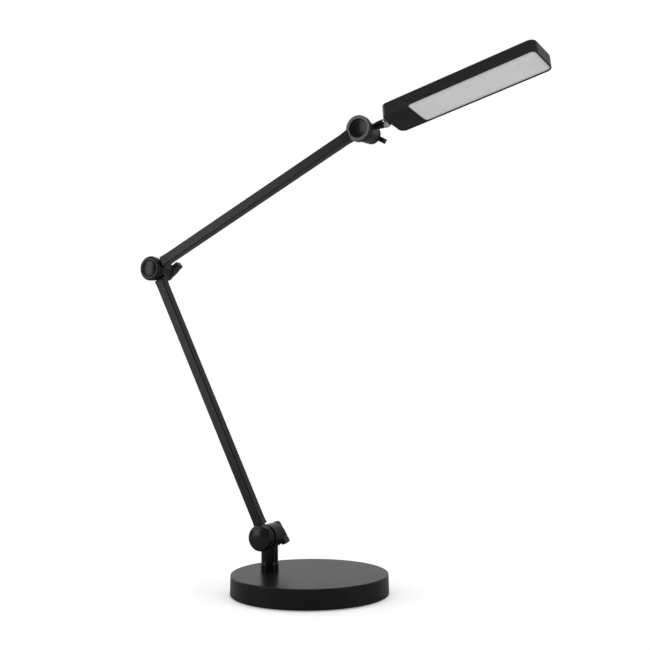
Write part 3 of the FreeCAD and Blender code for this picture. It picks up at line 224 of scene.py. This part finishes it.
# The camera stands in front and to the right, a little above the base, and looks slightly up.
camera_distance = 1.31629
camera_height = 0.27668
camera_bearing = math.radians(28.73)
camera_yaw = math.radians(27.79)
camera_pitch = math.radians(-2.84)
camera_roll = math.radians(-0.35)
ahead = Vector((
    -math.sin(camera_yaw) * math.cos(camera_pitch),
    math.cos(camera_yaw) * math.cos(camera_pitch),
    -math.sin(camera_pitch),
))
level_right = Vector((math.cos(camera_yaw), math.sin(camera_yaw), 0))
level_up = level_right.cross(ahead)
right = math.cos(camera_roll) * level_right + math.sin(camera_roll) * level_up
up = math.cos(camera_roll) * level_up - math.sin(camera_roll) * level_right
bpy.ops.object.camera_add()
camera = bpy.context.object
camera.name = "studio_camera"
camera.matrix_world = Matrix((
    (right.x, up.x, -ahead.x, camera_distance * math.sin(camera_bearing)),
    (right.y, up.y, -ahead.y, -camera_distance * math.cos(camera_bearing)),
    (right.z, up.z, -ahead.z, camera_height),
    (0, 0, 0, 1),
))
camera.data.sensor_width = 36
camera.data.lens = 56.61
bpy.context.scene.camera = camera

# The pad: a two millimetre disc of closed-cell foam glued under the base plate, with four
# round holes for the screw heads. Its cut edge is soft and slightly rolled.


def begin(name, body, slot, *nodes):
    """Names the piece just modelled and ties it to its body and CAD nodes; the slot argument is not used.
    """
    piece = bpy.context.object
    piece.name = name
    piece.data.name = name
    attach(piece, body)
    if nodes:
        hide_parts(*nodes)
    return piece


def pick(kind, test):
    """Selects the vertices, edges or faces of the piece in edit mode whose middle passes."""
    bpy.ops.mesh.select_mode(type=kind)
    bpy.ops.mesh.select_all(action="DESELECT")
    mesh = bmesh.from_edit_mesh(bpy.context.object.data)
    parts = {"VERT": mesh.verts, "EDGE": mesh.edges, "FACE": mesh.faces}[kind]
    for part in parts:
        corners = [part] if kind == "VERT" else list(part.verts)
        middle = sum((corner.co for corner in corners), Vector()) / len(corners)
        if test(middle, part):
            part.select_set(True)
    mesh.select_flush_mode()
    bmesh.update_edit_mesh(bpy.context.object.data)


def drill(piece, places, radius, depth):
    """Cuts a row of round holes through a flat piece."""
    for place in places:
        bpy.ops.object.select_all(action="DESELECT")
        bpy.ops.mesh.primitive_cylinder_add(
            vertices=40, radius=radius, depth=depth, location=place
        )
        cutter = bpy.context.object
        bpy.context.view_layer.objects.active = piece
        hole = piece.modifiers.new("hole", "BOOLEAN")
        hole.operation = "DIFFERENCE"
        hole.solver = "EXACT"
        hole.object = cutter
        bpy.ops.object.modifier_apply(modifier=hole.name)
        bpy.data.objects.remove(cutter)


def place_in_mesh(piece):
    """Moves an object's place into its mesh, so that it sits at the origin like a CAD node."""
    bpy.ops.object.select_all(action="DESELECT")
    piece.select_set(True)
    bpy.context.view_layer.objects.active = piece
    bpy.ops.object.transform_apply(location=True, rotation=True, scale=True)


def soften(piece, width, segments=3, angle=40):
    """Rounds the sharp edges of a finished shape and shades it smooth."""
    bpy.context.view_layer.objects.active = piece
    edge = piece.modifiers.new("soft_edge", "BEVEL")
    edge.width = width
    edge.segments = segments
    edge.limit_method = "ANGLE"
    edge.angle_limit = math.radians(angle)
    edge.harden_normals = False
    bpy.ops.object.modifier_apply(modifier=edge.name)
    bpy.ops.object.select_all(action="DESELECT")
    piece.select_set(True)
    bpy.ops.object.shade_smooth_by_angle(angle=math.radians(35))


def finish_with(thing, material):
    """Gives a new piece, or a CAD node by its name, its material."""
    if isinstance(thing, str):
        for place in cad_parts[thing].material_slots:
            place.material = material
    else:
        thing.data.materials.clear()
        thing.data.materials.append(material)


screw_circle_radius = 0.068
screw_hole_radius = 0.0042
screw_circle = screw_circle_radius * math.sqrt(0.5)
screw_places = [
    Vector((across, along, 0.001))
    for across in (-screw_circle, screw_circle)
    for along in (-screw_circle, screw_circle)
]
pad_low, pad_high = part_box("base_pad")
pad_thickness = pad_high.z - pad_low.z
bpy.ops.object.select_all(action="DESELECT")
bpy.ops.mesh.primitive_cylinder_add(
    vertices=160, radius=pad_high.x, depth=pad_thickness, location=(0, 0, pad_thickness / 2)
)
pad = begin("foam_pad", "base", "foam", "base_pad")
place_in_mesh(pad)
drill(pad, screw_places, screw_hole_radius, 0.01)
soften(pad, 0.0005)

foam = Nodes(bpy.data.materials.new("closed_cell_foam"))
where = foam.add("ShaderNodeTexCoord", {}, {}, "Object")
cells = foam.add("ShaderNodeTexVoronoi", {}, {"Vector": where, "Scale": 1400.0}, "Distance")
cloud = foam.noise(where, 60.0)
relief = foam.bump(cells, 0.6, 0.0002)
tone = foam.mixed(cloud * 0.6 + cells * 0.3, (0.016, 0.016, 0.017, 1), (0.034, 0.034, 0.036, 1))
finish_with(pad, foam.surface(
    {"Base Color": tone, "Roughness": 0.92, "Specular IOR Level": 0.2, "Normal": relief}
))

# The steel floor plate closes the base from below. It and its four self-tapping screws are
# zinc-plated, with the faint cloudy crystals that the plating leaves.


def metal(name, shade, other_shade, roughness, cloud_scale, grain_scale, grain):
    """A bare or plated metal: two close shades in clouds and a fine bumpy grain."""
    nodes = Nodes(bpy.data.materials.new(name))
    place = nodes.add("ShaderNodeTexCoord", {}, {}, "Object")
    clouds = nodes.noise(place, cloud_scale, 4.0)
    fine = nodes.noise(place, grain_scale)
    colour = nodes.mixed(clouds, shade, other_shade)
    return nodes.surface({
        "Base Color": colour,
        "Metallic": 1.0,
        "Roughness": clouds * 0.10 + fine * 0.06 + roughness,
        "Normal": nodes.bump(fine, grain, 0.00004),
    })


zinc = metal("zinc_plate", (0.52, 0.53, 0.54, 1), (0.66, 0.67, 0.68, 1), 0.26, 90.0, 2600.0, 0.25)
for node in ("base_plate", "base_screws"):
    finish_with(node, zinc)

# The ballast is an iron casting, left rough. It sits inside the base, under the cover, and
# gives the lamp its weight.


def coating(name, shade, other_shade, roughness, grain_scale, grain, gloss=0.5):
    """Paint or moulded plastic: a fine surface grain, with a faint drift in shade and gloss."""
    nodes = Nodes(bpy.data.materials.new(name))
    place = nodes.add("ShaderNodeTexCoord", {}, {}, "Object")
    fine = nodes.noise(place, grain_scale, 3.0)
    drift = nodes.noise(place, 22.0)
    colour = nodes.mixed(drift * 0.7 + fine * 0.3, shade, other_shade)
    return nodes.surface({
        "Base Color": colour,
        "Roughness": drift * 0.06 + fine * 0.08 + (roughness - 0.07),
        "Specular IOR Level": gloss,
        "Normal": nodes.bump(fine, grain, 0.000018),
    })


iron = coating(
    "painted_cast_iron", (0.030, 0.028, 0.026, 1), (0.060, 0.052, 0.046, 1), 0.62, 420.0, 1.0, 0.4
)
finish_with("base_ballast", iron)

# The cover is a pressed steel dish with a rounded shoulder, in a dark satin powder coat whose
# fine orange peel spreads every highlight.
satin = coating(
    "dark_satin_paint", (0.0055, 0.0056, 0.0056, 1), (0.0075, 0.0076, 0.0076, 1),
    0.30, 2100.0, 0.12, 0.24,
)
finish_with("base_cover", satin)

# The power inlet is a snap-in moulding in the back of the cover, with a brass centre pin
# pressed into it. The lead from it runs through the base and up the bored post.
black = coating(
    "black_moulding", (0.0055, 0.0055, 0.0055, 1), (0.0080, 0.0080, 0.0075, 1),
    0.34, 1500.0, 0.18, 0.30,
)
brass = metal("turned_brass", (0.78, 0.56, 0.22, 1), (0.86, 0.66, 0.32, 1), 0.20, 160.0, 1900.0, 0.3)
sheath = coating("cable_sheath", (0.014, 0.014, 0.014, 1), (0.024, 0.024, 0.024, 1), 0.50, 900.0, 0.4, 0.4)
finish_with("power_inlet", black)
finish_with("inlet_pin", brass)
for node in ("base_lead", "post_lead", "lower_arm_lead", "upper_arm_lead"):
    finish_with(node, sheath)

# The post is a casting, powder-coated like the base. Its shank turns in a flanged plastic
# bushing and is held by a slip washer, a steel washer and a nut inside the base.
post_paint = coating(
    "post_paint", (0.0030, 0.0031, 0.0032, 1), (0.0042, 0.0043, 0.0044, 1),
    0.22, 2100.0, 0.10, 0.26,
)
finish_with("post", post_paint)
white = coating("white_moulding", (0.78, 0.78, 0.76, 1), (0.84, 0.84, 0.82, 1), 0.45, 1500.0, 0.2)
finish_with("swivel_bushing", white)
finish_with("swivel_slip_washer", black)
for node in ("swivel_washer", "swivel_nut", "base_joint_washer"):
    finish_with(node, zinc)

# The friction joints of the arms: cast hubs lap face to face on a steel bolt, with a thin
# friction ring between them.
fitting = coating(
    "arm_fitting", (0.0085, 0.0085, 0.0080, 1), (0.012, 0.012, 0.0115, 1),
    0.32, 1700.0, 0.15, 0.30,
)
for node in ("lower_arm_foot", "lower_arm_head", "upper_arm_foot", "upper_arm_head"):
    finish_with(node, fitting)
for node in ("base_joint_friction_ring", "elbow_friction_ring", "head_joint_friction_ring"):
    finish_with(node, black)
for node in (
    "base_joint_bolt", "elbow_bolt", "head_joint_bolt", "elbow_washer", "head_joint_washer"
):
    finish_with(node, zinc)

# The joint caps at the foot and at the elbow are mouldings pressed in over the bolt heads.
# Each face is a low dome with a fine groove near its rim, which draws each light into a fan.


rings_per_metre = 14000.0


def turned_finish(name, middle, shade, other_shade):
    """A dark plastic face with the fine rings of a turned mould about the joint's axis."""
    nodes = Nodes(bpy.data.materials.new(name))
    place = nodes.add("ShaderNodeTexCoord", {}, {}, "Object")
    centred = nodes.add(
        "ShaderNodeMapping", {"vector_type": "TEXTURE"}, {"Vector": place, "Location": middle}
    )
    sideways = nodes.add("ShaderNodeSeparateXYZ", {}, {"Vector": centred}, "X")
    upwards = nodes.add("ShaderNodeSeparateXYZ", {}, {"Vector": centred}, "Z")
    radius = (sideways * sideways + upwards * upwards) ** 0.5
    turns = radius.maths("SINE", radius * rings_per_metre)
    fine = nodes.noise(place, 1700.0)
    drift = nodes.noise(place, 30.0)
    colour = nodes.mixed(drift, shade, other_shade)
    return nodes.surface({
        "Base Color": colour,
        "Roughness": fine * 0.05 + 0.20,
        "Specular IOR Level": 0.40,
        "Normal": nodes.bump(turns, 0.10, 0.00002),
    })


def dome(steps):
    """Insets the picked face again and again, lifting it a little less each time."""
    for width, rise in steps:
        bpy.ops.mesh.inset(thickness=width)
        bpy.ops.transform.translate(value=(0, 0, rise))


facing_up = 0.9
at_centre = 0.001
smooth_angle = math.radians(28)
cap_core_radius = 0.0127
cap_core_depth = 0.004
cap_dome_rise = 0.0015
cap_rim_round = 0.0034
cap_steps = (
    (0.0008, 0.00006), (0.00025, -0.00022), (0.00035, 0.0), (0.00025, 0.00026),
    (0.0015, 0.00044), (0.0020, 0.00042), (0.0020, 0.00028), (0.0020, 0.00018),
    (0.0018, 0.00006), (0.0010, 0.00001),
)
for joint in ("base_joint", "elbow"):
    cap_low, cap_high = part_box(f"{joint}_cap")
    cap_middle = (cap_low + cap_high) / 2
    cap_radius = (cap_high.x - cap_low.x) / 2
    cap_depth = cap_high.y - cap_low.y
    bpy.ops.object.select_all(action="DESELECT")
    bpy.ops.mesh.primitive_cylinder_add(
        vertices=128, radius=cap_core_radius, depth=cap_core_depth,
        location=(0, 0, cap_core_depth / 2),
    )
    cap = begin(f"{joint}_turned_cap", "lower_arm" if joint == "base_joint" else "upper_arm",
                "grey_plastic", f"{joint}_cap")
    place_in_mesh(cap)
    bpy.ops.object.mode_set(mode="EDIT")
    pick("FACE", lambda middle, face: face.normal.z > facing_up)
    bpy.ops.mesh.extrude_region_move()
    widening = cap_radius / cap_core_radius
    bpy.ops.transform.resize(value=(widening, widening, 1))
    bpy.ops.mesh.extrude_region_move(
        TRANSFORM_OT_translate={"value": (0, 0, cap_depth - cap_core_depth - cap_dome_rise)}
    )
    pick("EDGE", lambda middle, edge: (
        middle.z > cap_depth - 0.0017 and middle.xy.length > cap_radius * 0.98
    ))
    bpy.ops.mesh.bevel(offset=cap_rim_round, segments=8, profile=0.5, affect="EDGES")
    pick("FACE", lambda middle, face: (
        face.normal.z > facing_up and middle.xy.length < at_centre and middle.z > 0.005
    ))
    dome(cap_steps)
    bpy.ops.mesh.select_all(action="SELECT")
    bpy.ops.mesh.normals_make_consistent(inside=False)
    bpy.ops.object.mode_set(mode="OBJECT")
    bpy.ops.object.shade_smooth_by_angle(angle=smooth_angle)
    cap.rotation_euler = (math.radians(90), 0, 0)
    cap.location = (cap_middle.x, cap_high.y, cap_middle.z)
    place_in_mesh(cap)
    finish_with(cap, turned_finish(
        f"{joint}_turned_paint", cap_middle,
        (0.0050, 0.0050, 0.0047, 1), (0.0078, 0.0078, 0.0073, 1),
    ))

# The head joint has no cap: its plug sits deep in a recess, and the rim round it is faced
# with a flat satin ring whose pale grey is a painted highlight, the brightest spot of the dark arms.
head_joint = Vector((0.0880596, -0.008274, 0.5815848))
rim_to_joint = 0.0226
rim_front = -rim_to_joint + head_joint.y
ring_outer = 0.0161
ring_inner = 0.0121
ring_thickness = 0.0003
ring_sunk = 0.00005
bpy.ops.object.select_all(action="DESELECT")
bpy.ops.mesh.primitive_circle_add(vertices=128, radius=ring_outer, fill_type="NGON")
trim_ring = begin("head_joint_trim_ring", "upper_arm", "grey_plastic")
bpy.ops.object.mode_set(mode="EDIT")
bpy.ops.mesh.select_all(action="SELECT")
bpy.ops.mesh.inset(thickness=ring_outer - ring_inner)
bpy.ops.mesh.delete(type="FACE")
bpy.ops.mesh.select_all(action="SELECT")
bpy.ops.mesh.extrude_region_move(TRANSFORM_OT_translate={"value": (0, 0, ring_thickness)})
bpy.ops.mesh.select_all(action="SELECT")
bpy.ops.mesh.normals_make_consistent(inside=False)
bpy.ops.object.mode_set(mode="OBJECT")
soften(trim_ring, 0.00012, 2)
trim_ring.rotation_euler = (math.radians(90), 0, 0)
trim_ring.location = (head_joint.x, rim_front + ring_sunk, head_joint.z)
place_in_mesh(trim_ring)
# Painted highlight: the ring's pale grey stands in for the light that the rim catches.
ring_highlight_paint = coating(
    "satin_painted_highlight_ring", (0.120, 0.120, 0.121, 1), (0.140, 0.140, 0.141, 1), 0.42, 1900.0, 0.15
)
finish_with(trim_ring, ring_highlight_paint)
plug_low, plug_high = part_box("head_joint_plug")
plug_middle = (plug_low + plug_high) / 2
plug_behind_rim = 0.0009
plug_edge_round = 0.0004
plug_steps = (
    (0.0008, -0.00010), (0.0018, -0.00030), (0.0022, -0.00028), (0.0022, -0.00018),
    (0.0020, -0.00010), (0.0014, -0.00004),
)
plug_depth = plug_high.y - (rim_front + plug_behind_rim)
bpy.ops.object.select_all(action="DESELECT")
bpy.ops.mesh.primitive_cylinder_add(
    vertices=128, radius=(plug_high.x - plug_low.x) / 2, depth=plug_depth,
    location=(0, 0, plug_depth / 2),
)
plug = begin("head_joint_dished_plug", "upper_arm", "grey_plastic", "head_joint_plug")
place_in_mesh(plug)
bpy.ops.object.mode_set(mode="EDIT")
pick("EDGE", lambda middle, edge: middle.z > plug_depth - 0.0001 and middle.xy.length > 0.01)
bpy.ops.mesh.bevel(offset=plug_edge_round, segments=3, affect="EDGES")
pick("FACE", lambda middle, face: (
    face.normal.z > facing_up and middle.xy.length < at_centre and middle.z > plug_depth / 2
))
dome(plug_steps)
bpy.ops.object.mode_set(mode="OBJECT")
bpy.ops.object.shade_smooth_by_angle(angle=smooth_angle)
plug.rotation_euler = (math.radians(90), 0, 0)
plug.location = (plug_middle.x, plug_high.y, plug_middle.z)
place_in_mesh(plug)
finish_with(plug, turned_finish(
    "head_joint_turned_plug", plug_middle,
    (0.0060, 0.0060, 0.0060, 1), (0.0085, 0.0085, 0.0085, 1),
))

# The wing knobs are moulded over threaded brass inserts and tighten each joint by hand. Each
# has a stepped barrel and two leaf-shaped wings that sweep outwards and back.
for joint in ("base_joint", "elbow", "head_joint"):
    finish_with(f"{joint}_knob", black)
    finish_with(f"{joint}_knob_insert", brass)

# The arm tubes are square drawn aluminium, painted dark, and keep faint drawing lines that
# run along them under the paint. They are glued onto spigots on the fittings.


def drawn_tube(name, lean, shade, other_shade):
    """Dark paint over drawn aluminium, with its streaks along the tube."""
    nodes = Nodes(bpy.data.materials.new(name))
    place = nodes.add("ShaderNodeTexCoord", {}, {}, "Object")
    along = nodes.add(
        "ShaderNodeMapping",
        {"vector_type": "TEXTURE"},
        {"Vector": place, "Rotation": (0, lean, 0), "Scale": (1.0, 1.0, 60.0)},
    )
    streaks = nodes.noise(along, 1800.0, 3.0)
    fine = nodes.noise(place, 2300.0)
    colour = nodes.mixed(streaks, shade, other_shade)
    return nodes.surface({
        "Base Color": colour,
        "Specular IOR Level": 0.30,
        "Roughness": streaks * 0.10 + 0.26,
        "Normal": nodes.bump(fine + streaks, 0.15, 0.000015),
    })


lower_lean = math.radians(-26.16)
upper_lean = math.radians(90 - 26.35)
# The two tubes wear one paint, but the upper tube's copy is set lighter and the lower tube's darker:
# painted light on the upper, painted shade on the lower.
lower_shaded_paint = drawn_tube(
    "lower_tube_shaded_paint", lower_lean, (0.0065, 0.0065, 0.0065, 1), (0.0100, 0.0100, 0.0100, 1)
)
upper_lit_paint = drawn_tube(
    "upper_tube_lit_paint", upper_lean, (0.015, 0.015, 0.015, 1), (0.021, 0.021, 0.021, 1)
)
finish_with("lower_arm_tube", lower_shaded_paint)
finish_with("upper_arm_tube", upper_lit_paint)

# The head bracket and the joint at its end: the bracket is a casting with the arms' coat,
# the cup and the collar are black mouldings, and the stud between them is chromed.
finish_with("head_bracket", fitting)
finish_with("ball_cup", black)
finish_with("ball_collar", black)
chrome = metal("polished_steel", (0.80, 0.80, 0.81, 1), (0.84, 0.84, 0.85, 1), 0.07, 40.0, 900.0, 0.04)
finish_with("ball_stud", chrome)
finish_with("ball_pin", zinc)
finish_with("stud_nut", zinc)

# The lamp head is a die-cast aluminium shell, painted dark, with a moulded bezel below.
# The boards, the reflector and the light sources are inside it.
shell_paint = coating(
    "head_shell_paint", (0.018, 0.018, 0.0185, 1), (0.024, 0.024, 0.0245, 1),
    0.34, 2100.0, 0.18, 0.35,
)
bezel_plastic = coating(
    "bezel_moulding", (0.0080, 0.0080, 0.0083, 1), (0.0105, 0.0105, 0.0108, 1),
    0.38, 1700.0, 0.15, 0.22,
)
finish_with("head_housing", shell_paint)
finish_with("head_bezel", bezel_plastic)
bare = metal("bare_aluminium", (0.74, 0.75, 0.76, 1), (0.80, 0.81, 0.82, 1), 0.32, 70.0, 1500.0, 0.5)
board = coating("white_board_mask", (0.70, 0.71, 0.70, 1), (0.76, 0.77, 0.75, 1), 0.35, 1900.0, 0.2)
mask = coating("green_board_mask", (0.010, 0.075, 0.030, 1), (0.016, 0.100, 0.042, 1), 0.30, 1900.0, 0.3)
phosphor = coating("phosphor", (0.82, 0.66, 0.16, 1), (0.88, 0.74, 0.24, 1), 0.50, 1200.0, 0.3)
finish_with("reflector_frame", white)
finish_with("heat_spreader", bare)
finish_with("led_board", board)
finish_with("leds", phosphor)
finish_with("driver_board", mask)
finish_with("driver_screws", zinc)
finish_with("tact_switch", black)

# The diffuser is a sheet of opal acrylic, frosted on its outer face and snapped into the
# bezel. The two rows of light sources behind it show through as faint warm spots.
head_start = Vector((0.122551, -0.006306, 0.587298))
head_along = Vector((0.9693, -0.1158, 0.2168)).normalized()
head_up = Vector((-0.1832, 0.2487, 0.9511))
head_across = head_up.cross(head_along).normalized()
head_up = head_along.cross(head_across)
head_place = Matrix((head_along, head_across, head_up)).transposed().to_4x4()
head_place.translation = head_start

in_head = [
    head_place.inverted() @ vertex.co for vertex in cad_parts["diffuser"].data.vertices
]
sheet_low = Vector([min(corner[axis] for corner in in_head) for axis in range(3)])
sheet_high = Vector([max(corner[axis] for corner in in_head) for axis in range(3)])
sheet_middle = (sheet_low + sheet_high) / 2
sheet_size = sheet_high - sheet_low
sheet_corner = 0.0055
sheet_border = 0.004
border_step = 0.0002
bpy.ops.object.select_all(action="DESELECT")
bpy.ops.mesh.primitive_plane_add(size=1, location=(sheet_middle.x, sheet_middle.y, sheet_high.z))
diffuser = begin("opal_diffuser", "head", "opal", "diffuser")
diffuser.scale = (sheet_size.x, sheet_size.y, 1)
place_in_mesh(diffuser)
bpy.ops.object.mode_set(mode="EDIT")
bpy.ops.mesh.select_all(action="SELECT")
bpy.ops.mesh.bevel(offset=sheet_corner, segments=8, affect="VERTICES")
bpy.ops.mesh.extrude_region_move(
    TRANSFORM_OT_translate={"value": (0, 0, -(sheet_size.z - border_step))}
)
bpy.ops.mesh.inset(thickness=sheet_border)
bpy.ops.transform.translate(value=(0, 0, -border_step))
bpy.ops.mesh.select_all(action="SELECT")
bpy.ops.mesh.normals_make_consistent(inside=False)
bpy.ops.object.mode_set(mode="OBJECT")
soften(diffuser, 0.0003, 2)
diffuser.matrix_world = head_place
place_in_mesh(diffuser)

spot_first = 0.0526
spot_pitch = 0.0173
spot_row = 0.0105
spot_core = 0.0006
spot_edge = 0.0042
edge_shade_width = 0.0065
opal = Nodes(bpy.data.materials.new("frosted_opal"))
where = opal.add("ShaderNodeTexCoord", {}, {}, "Object")
local = opal.add(
    "ShaderNodeMapping",
    {"vector_type": "TEXTURE"},
    {"Vector": where, "Location": head_start, "Rotation": head_place.to_euler()},
)
lengthwise = opal.add("ShaderNodeSeparateXYZ", {}, {"Vector": local}, "X")
widthwise = opal.add("ShaderNodeSeparateXYZ", {}, {"Vector": local}, "Y")
step = (lengthwise - spot_first) / spot_pitch + 0.5
from_spot = (step.maths("FRACT", step) - 0.5) * spot_pitch
from_row = abs(widthwise) - spot_row
reach = (from_spot * from_spot + from_row * from_row) ** 0.5
spot = opal.add(
    "ShaderNodeMapRange",
    {"interpolation_type": "SMOOTHERSTEP"},
    {
        "Value": reach,
        "From Min": spot_core,
        "From Max": spot_edge,
        "To Min": 1.0,
        "To Max": 0.0,
    },
)
mist = opal.noise(where, 30.0)
frost = opal.noise(where, 3000.0)
plain = opal.mixed(mist, (0.72, 0.73, 0.74, 1), (0.78, 0.79, 0.80, 1))
# Painted shade: the sheet's colour darkens towards its edges, where the bezel wall shades it.
to_long_edge = sheet_size.y / 2 - abs(widthwise)
to_short_edge = sheet_size.x / 2 - abs(lengthwise - sheet_middle.x)
to_edge = to_long_edge.maths("MINIMUM", to_long_edge, to_short_edge)
wall_shade = opal.add(
    "ShaderNodeMapRange",
    {"interpolation_type": "SMOOTHSTEP"},
    {
        "Value": to_edge,
        "From Min": 0.0,
        "From Max": edge_shade_width,
        "To Min": 0.45,
        "To Max": 0.0,
    },
)
edged = opal.mixed(wall_shade, plain, (0.36, 0.36, 0.35, 1))
tinted = opal.mixed(spot * 0.45, edged, (0.90, 0.85, 0.62, 1))
relief = opal.bump(frost, 0.25, 0.00003)
finish_with(diffuser, opal.surface(
    {"Base Color": tinted, "Roughness": frost * 0.1 + 0.40, "Normal": relief}
))

# The switch button stands a little proud of the head's top: a moulded cap with a dished face
# and a wide flange under the shell, which presses a small switch on the driver board.
in_head = [
    head_place.inverted() @ vertex.co
    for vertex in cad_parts["switch_button"].data.vertices
]
button_low = min(corner.z for corner in in_head)
button_high = max(corner.z for corner in in_head)
button_at = (min(corner.x for corner in in_head) + max(corner.x for corner in in_head)) / 2
button_radius = 0.0070
button_flange = 0.0084
flange_depth = 0.0012
button_rim_round = 0.0005
button_steps = (
    (0.0006, 0.0), (0.0008, -0.00008), (0.0012, -0.00012), (0.0014, -0.00008),
    (0.0012, -0.00003),
)
button_tall = button_high - button_low
bpy.ops.object.select_all(action="DESELECT")
bpy.ops.mesh.primitive_cylinder_add(
    vertices=96, radius=button_flange, depth=flange_depth, location=(0, 0, flange_depth / 2)
)
button = begin("switch_cap", "button", "grey_plastic", "switch_button")
place_in_mesh(button)
bpy.ops.object.mode_set(mode="EDIT")
pick("FACE", lambda middle, face: face.normal.z > facing_up)
bpy.ops.mesh.inset(thickness=button_flange - button_radius)
bpy.ops.mesh.extrude_region_move(
    TRANSFORM_OT_translate={"value": (0, 0, button_tall - flange_depth)}
)
pick("EDGE", lambda middle, edge: (
    middle.z > button_tall - 0.0001 and middle.xy.length > 0.006
))
bpy.ops.mesh.bevel(offset=button_rim_round, segments=4, affect="EDGES")
pick("FACE", lambda middle, face: (
    face.normal.z > facing_up and middle.xy.length < at_centre
))
dome(button_steps)
bpy.ops.object.mode_set(mode="OBJECT")
bpy.ops.object.shade_smooth_by_angle(angle=smooth_angle)
button.matrix_world = head_place @ Matrix.Translation((button_at, 0, button_low))
place_in_mesh(button)
grey = coating(
    "grey_moulding", (0.0070, 0.0070, 0.0070, 1), (0.0095, 0.0095, 0.0095, 1),
    0.30, 1500.0, 0.15, 0.30,
)
finish_with(button, grey)
